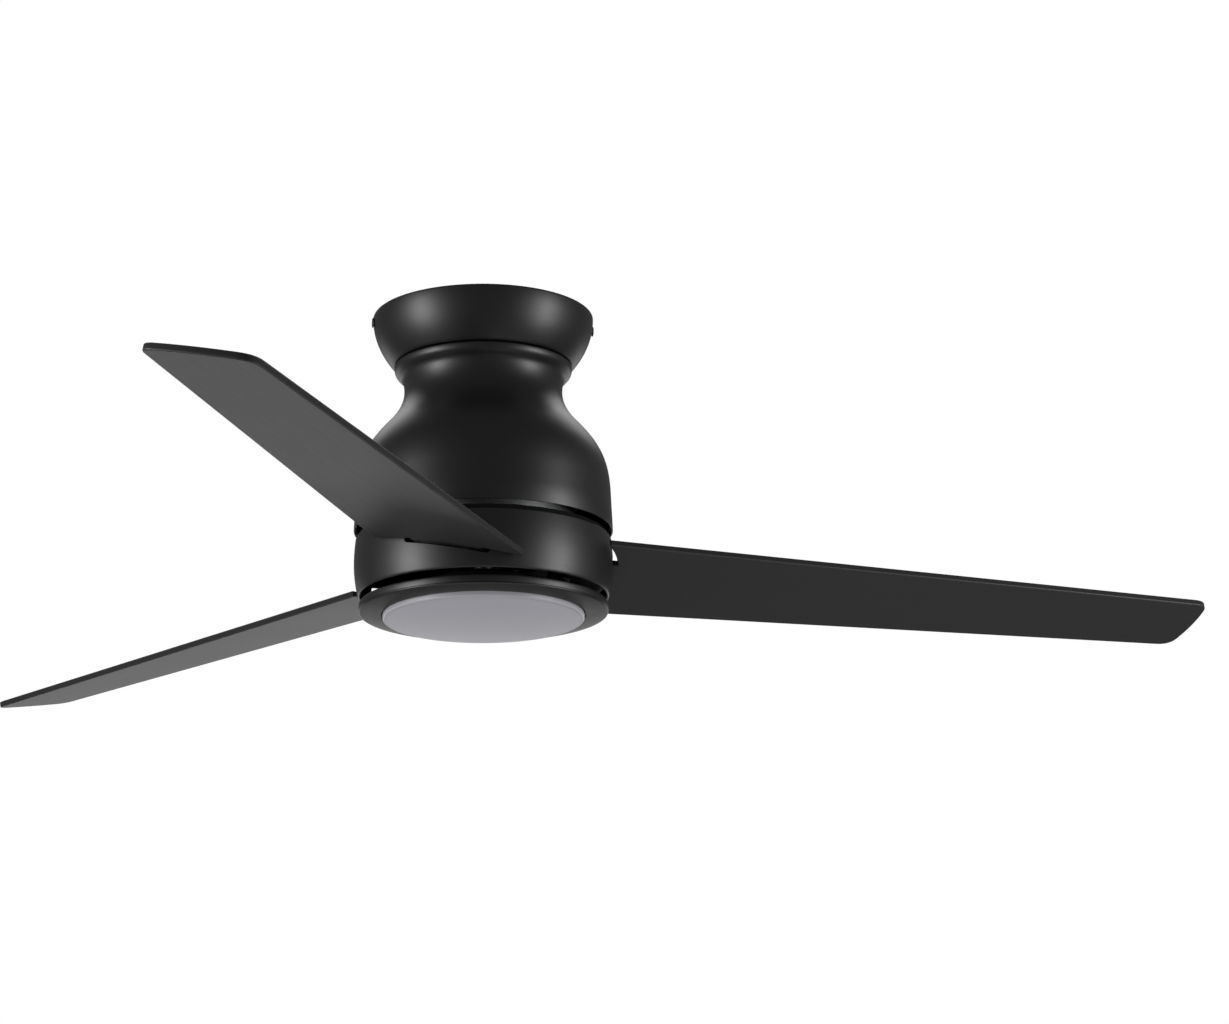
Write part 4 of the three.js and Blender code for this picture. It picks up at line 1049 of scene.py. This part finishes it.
trim_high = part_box("trim_ring")[1]
trim_radius = trim_high.x
trim_top = trim_high.z - UPSTAND_HEIGHT
upstand_outer = pan_radius - PAN_WALL - 0.0003
upstand_inner = upstand_outer - UPSTAND_WALL
bore_bottom = trim_top - TRIM_FALL
bore_top = bore_bottom + TRIM_WALL
trim_section = [
    (trim_radius, trim_top),
    (upstand_outer, trim_top),
    (upstand_outer, trim_high.z),
    (upstand_inner, trim_high.z),
    (upstand_inner, trim_top + 0.0008),
    (TRIM_BORE, bore_top),
    (TRIM_BORE, bore_bottom + 0.0005),
]
trim_section += curve(
    (TRIM_BORE, bore_bottom + 0.0005),
    (TRIM_BORE, bore_bottom + 0.0002),
    (TRIM_BORE + 0.0002, bore_bottom),
    (TRIM_BORE + 0.0006, bore_bottom),
    4,
)
trim_section += curve(
    (TRIM_BORE + 0.0006, bore_bottom),
    (TRIM_BORE + 0.007, bore_bottom + 0.0004),
    (trim_radius - 0.008, trim_top - 0.0022),
    (trim_radius - 0.0012, trim_top - 0.0013),
    14,
)
trim_section += curve(
    (trim_radius - 0.0012, trim_top - 0.0013),
    (trim_radius - 0.0004, trim_top - 0.0011),
    (trim_radius, trim_top - 0.0007),
    (trim_radius, trim_top - 0.0002),
    5,
)
notches = []
for i in range(3):
    turn = Matrix.Rotation(2 * math.pi * i / 3 - TWIST, 4, "Z")
    low = (NOTCH_START, -NOTCH_HALF, bore_bottom + FACE_LIP)
    high = (LENS_RADIUS + LUG_REACH + 0.0003, NOTCH_HALF, trim_top + 0.002)
    notches.append(block(low, high, turn))
trim_mesh = carved("trim", spun("trim", trim_section), notches)
piece("trim_bezel", trim_mesh, black_paint, "root", ["trim_ring"])

# ---------------------------------------------------------------- diffuser
# A shallow moulded cup of opal plastic that stands just proud of the trim. Three lugs lock it with a
# short twist. The satin face scatters light; a thin band at the rim is painted darker, as painted shade.

LENS_WALL = 0.002
LENS_ROUND = 0.0022
LENS_CROWN = 0.0044
LUG_HEIGHT = 0.0025
# Where the painted shade at the lens's rim starts, and where it is full.
RIM_SHADE_START = 0.0825
RIM_SHADE_FULL = 0.0845

lens_low, lens_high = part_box("diffuser")


def opal_plastic():
    finish = Finish("opal_plastic")
    place = finish.place()
    # Painted shade: the colour darkens in a thin band at the rim, over the shoulder.
    reach = {"Value": finish.from_axis(place), "From Min": RIM_SHADE_START, "From Max": RIM_SHADE_FULL}
    edge = finish.node("ShaderNodeMapRange", {"clamp": True}, reach)
    cloud = finish.noise(place, 18, 2)
    frost = finish.noise(place, 3200, 1)
    return finish.set(
        base_color=finish.blend(edge * 0.9 + cloud * 0.1, (0.5, 0.49, 0.54), (0.36, 0.355, 0.385)),
        roughness=0.42 + cloud * 0.05,
        normal=finish.relief(frost, 0.00001, 0.4),
    )


crown = lens_low.z
lens_side = crown + LENS_CROWN + LENS_ROUND
flat_radius = LENS_RADIUS - LENS_ROUND


def shoulder_arc(radius, steps):
    points = []
    for i in range(steps + 1):
        angle = math.pi / 2 * i / steps
        points.append((flat_radius + radius * math.cos(angle), lens_side - radius * math.sin(angle)))
    return points


def dome(lift, steps=16):
    """The face from its shoulder to its middle, level where it meets the shoulder's arc."""
    points = []
    for i in range(1, steps):
        share = 1 - i / steps
        fall = LENS_CROWN * (1 - share * share)
        points.append((flat_radius * share, lens_side - LENS_ROUND + lift - fall))
    return points


lens_section = [(LENS_RADIUS, lens_high.z - 0.0003), *shoulder_arc(LENS_ROUND, 10), *dome(0), (0, crown)]
lens_section += [(0, crown + LENS_WALL), *dome(LENS_WALL)[::-1]]
lens_section += [*shoulder_arc(LENS_ROUND - LENS_WALL, 6)[::-1], (LENS_RADIUS - LENS_WALL, lens_high.z)]
lens_section += [(LENS_RADIUS - 0.0003, lens_high.z)]
lens_mesh = spun("opal_lens", lens_section)
lug_ring = [
    (LENS_RADIUS - 0.0008, lens_high.z - LUG_HEIGHT),
    (LENS_RADIUS + LUG_REACH - 0.0003, lens_high.z - LUG_HEIGHT),
    (LENS_RADIUS + LUG_REACH, lens_high.z - LUG_HEIGHT + 0.0003),
    (LENS_RADIUS + LUG_REACH, lens_high.z - 0.0003),
    (LENS_RADIUS + LUG_REACH - 0.0003, lens_high.z),
    (LENS_RADIUS - 0.0008, lens_high.z),
]
form = bmesh.new()
form.from_mesh(lens_mesh)
for i in range(3):
    middle = 2 * math.pi * i / 3
    rings = []
    for k in range(9):
        angle = middle + LUG_SPAN * (k / 8 - 0.5)
        rings.append([form.verts.new((r * math.cos(angle), r * math.sin(angle), z)) for r, z in lug_ring])
    for a, b in zip(rings, rings[1:]):
        for k in range(len(lug_ring)):
            j = (k + 1) % len(lug_ring)
            form.faces.new([a[k], b[k], b[j], a[j]])
    form.faces.new(rings[0])
    form.faces.new(rings[-1][::-1])
bmesh.ops.recalc_face_normals(form, faces=form.faces)
form.to_mesh(lens_mesh)
form.free()
shade_round(lens_mesh)
piece("opal_lens", lens_mesh, opal_plastic(), "lens", ["diffuser"])

# ---------------------------------------------------------------- screws and bolts
# Pan head machine screws, zinc plated, with a cross recess and rolled thread. The two that show in the
# canopy are black. Each set is one screw copied to its seats by a tree of nodes, and lies where the plain
# screws are.


def machine_screw(shank, head, height, length, pitch=0.0008):
    """A screw whose head rests on z = 0 from below, its thread pointing up."""
    section = [(0, -height), (head * 0.45, -height)]
    section += curve(
        (head * 0.45, -height), (head * 0.85, -height), (head, -height * 0.7), (head, -height * 0.15), 5
    )
    section += [(head * 0.97, 0), (shank, 0), (shank, pitch)]
    turns = int((length - 2.5 * pitch) / pitch)
    for i in range(turns):
        z = pitch * (i + 1.0)
        section += [(shank * 0.84, z + pitch * 0.5), (shank, z + pitch)]
    section += [(shank * 0.7, length), (0, length)]
    mesh = spun("screw", section, 20)
    arm = head * 0.55
    slit = head * 0.13
    deep = -height + height * 0.55
    cross = [
        block((-arm, -slit, -height - 0.001), (arm, slit, deep)),
        block((-slit, -arm, -height - 0.001), (slit, arm, deep)),
    ]
    return carved("screw", mesh, cross)


def screw_set(name, screw, seats, material):
    """Copies of a screw on its seats: each seat is a point and the way its thread points."""
    mesh = bpy.data.meshes.new(name)
    mesh.from_pydata([tuple(spot) for spot, _ in seats], [], [])
    aims = mesh.attributes.new("aim", "FLOAT_VECTOR", "POINT")
    for i, (_, way) in enumerate(seats):
        aims.data[i].vector = way
    pattern = set_down(name + "_screw", screw)
    tree = bpy.data.node_groups.new(name + "_tree", "GeometryNodeTree")
    face = tree.interface
    face.new_socket("Seats", in_out="INPUT", socket_type="NodeSocketGeometry")
    screw_key = face.new_socket("Screw", in_out="INPUT", socket_type="NodeSocketObject").identifier
    finish_key = face.new_socket("Finish", in_out="INPUT", socket_type="NodeSocketMaterial").identifier
    face.new_socket("Geometry", in_out="OUTPUT", socket_type="NodeSocketGeometry")
    nodes, links = tree.nodes, tree.links
    given = nodes.new("NodeGroupInput")
    info = nodes.new("GeometryNodeObjectInfo")
    links.new(given.outputs["Screw"], info.inputs["Object"])
    way = nodes.new("GeometryNodeInputNamedAttribute")
    way.data_type = "FLOAT_VECTOR"
    way.inputs["Name"].default_value = "aim"
    aim = nodes.new("FunctionNodeAlignRotationToVector")
    aim.axis = "Z"
    links.new(way.outputs["Attribute"], aim.inputs["Vector"])
    copies = nodes.new("GeometryNodeInstanceOnPoints")
    links.new(given.outputs["Seats"], copies.inputs["Points"])
    links.new(info.outputs["Geometry"], copies.inputs["Instance"])
    links.new(aim.outputs["Rotation"], copies.inputs["Rotation"])
    real = nodes.new("GeometryNodeRealizeInstances")
    links.new(copies.outputs[0], real.inputs[0])
    coat = nodes.new("GeometryNodeSetMaterial")
    links.new(real.outputs[0], coat.inputs["Geometry"])
    links.new(given.outputs["Finish"], coat.inputs["Material"])
    result = nodes.new("NodeGroupOutput")
    links.new(coat.outputs[0], result.inputs[0])
    holder = set_down(name, mesh)
    modifier = holder.modifiers.new("set", "NODES")
    modifier.node_group = tree
    modifier[screw_key] = pattern
    modifier[finish_key] = material
    made = finished(holder)
    bpy.data.objects.remove(pattern)
    return made


def upright_seats(stem, count, height, up):
    """Seats of upright screws, read from the plain ones: their middle, and the head's bearing face."""
    seats = []
    for i in range(count):
        low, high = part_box(f"{stem}_{i + 1}")
        level = low.z + height if up else high.z - height
        spot = ((low.x + high.x) / 2, (low.y + high.y) / 2, level)
        seats.append((spot, (0, 0, 1) if up else (0, 0, -1)))
    return seats


def place_screws(name, stem, count, sizes, up, body):
    shank, head, height = sizes
    low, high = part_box(f"{stem}_1")
    length = high.z - low.z - height
    seats = upright_seats(stem, count, height, up)
    mesh = screw_set(name, machine_screw(shank, head, height, length), seats, zinc)
    piece(name, mesh, zinc, body, [f"{stem}_{i + 1}" for i in range(count)])


M4 = (0.002, 0.0038, 0.0026)
M5 = (0.0025, 0.0048, 0.003)
M6 = (0.003, 0.0055, 0.004)
LOW_HEAD_M4 = (0.002, 0.0045, 0.0012)
BLADE_SCREW_LENGTH = 0.0155
RIM_SCREW_LENGTH = 0.0115
BLADE_SCREW_SPOTS = [(0.071, 0), (0.086, -0.014), (0.086, 0.014)]
place_screws("plate_bolts", "hanging_bolt", 2, M6, False, "root")
place_screws("housing_screws", "housing_screw", 3, M5, True, "root")
place_screws("pan_screws", "pan_screw", 3, M4, True, "root")
place_screws("case_screws", "case_screw", 3, M4, False, "rotor")
place_screws("carrier_screws", "carrier_screw", 3, M5, True, "rotor")
place_screws("ring_screws", "ring_screw", 3, M4, True, "rotor")

blade_screw_nodes = []
blade_seats = []
for i in range(3):
    lie = blade_frame(i)
    for k, (x, y) in enumerate(BLADE_SCREW_SPOTS):
        blade_screw_nodes.append(f"blade_{i + 1}_screw_{k + 1}")
        blade_seats.append((lie @ Vector((x, y, -0.0003)), lie.to_3x3() @ Vector((0, 0, 1))))
blade_screw = machine_screw(*M5, BLADE_SCREW_LENGTH)
blade_screw_mesh = screw_set("blade_screws", blade_screw, blade_seats, zinc)
piece("blade_screws", blade_screw_mesh, zinc, "rotor", blade_screw_nodes)

black_zinc = plated_steel("black_zinc", (0.05, 0.05, 0.055), (0.09, 0.09, 0.1), 0.32)
canopy_seats = [
    ((CANOPY_RADIUS + 0.0002, 0, -CANOPY_SCREW_DROP), (-1, 0, 0)),
    ((-CANOPY_RADIUS - 0.0002, 0, -CANOPY_SCREW_DROP), (1, 0, 0)),
]
rim_screw = machine_screw(*LOW_HEAD_M4, RIM_SCREW_LENGTH)
rim_screw_mesh = screw_set("canopy_rim_screws", rim_screw, canopy_seats, black_zinc)
rim_screw_nodes = ["canopy_screw_1", "canopy_screw_2"]
piece("canopy_rim_screws", rim_screw_mesh, black_zinc, "root", rim_screw_nodes)
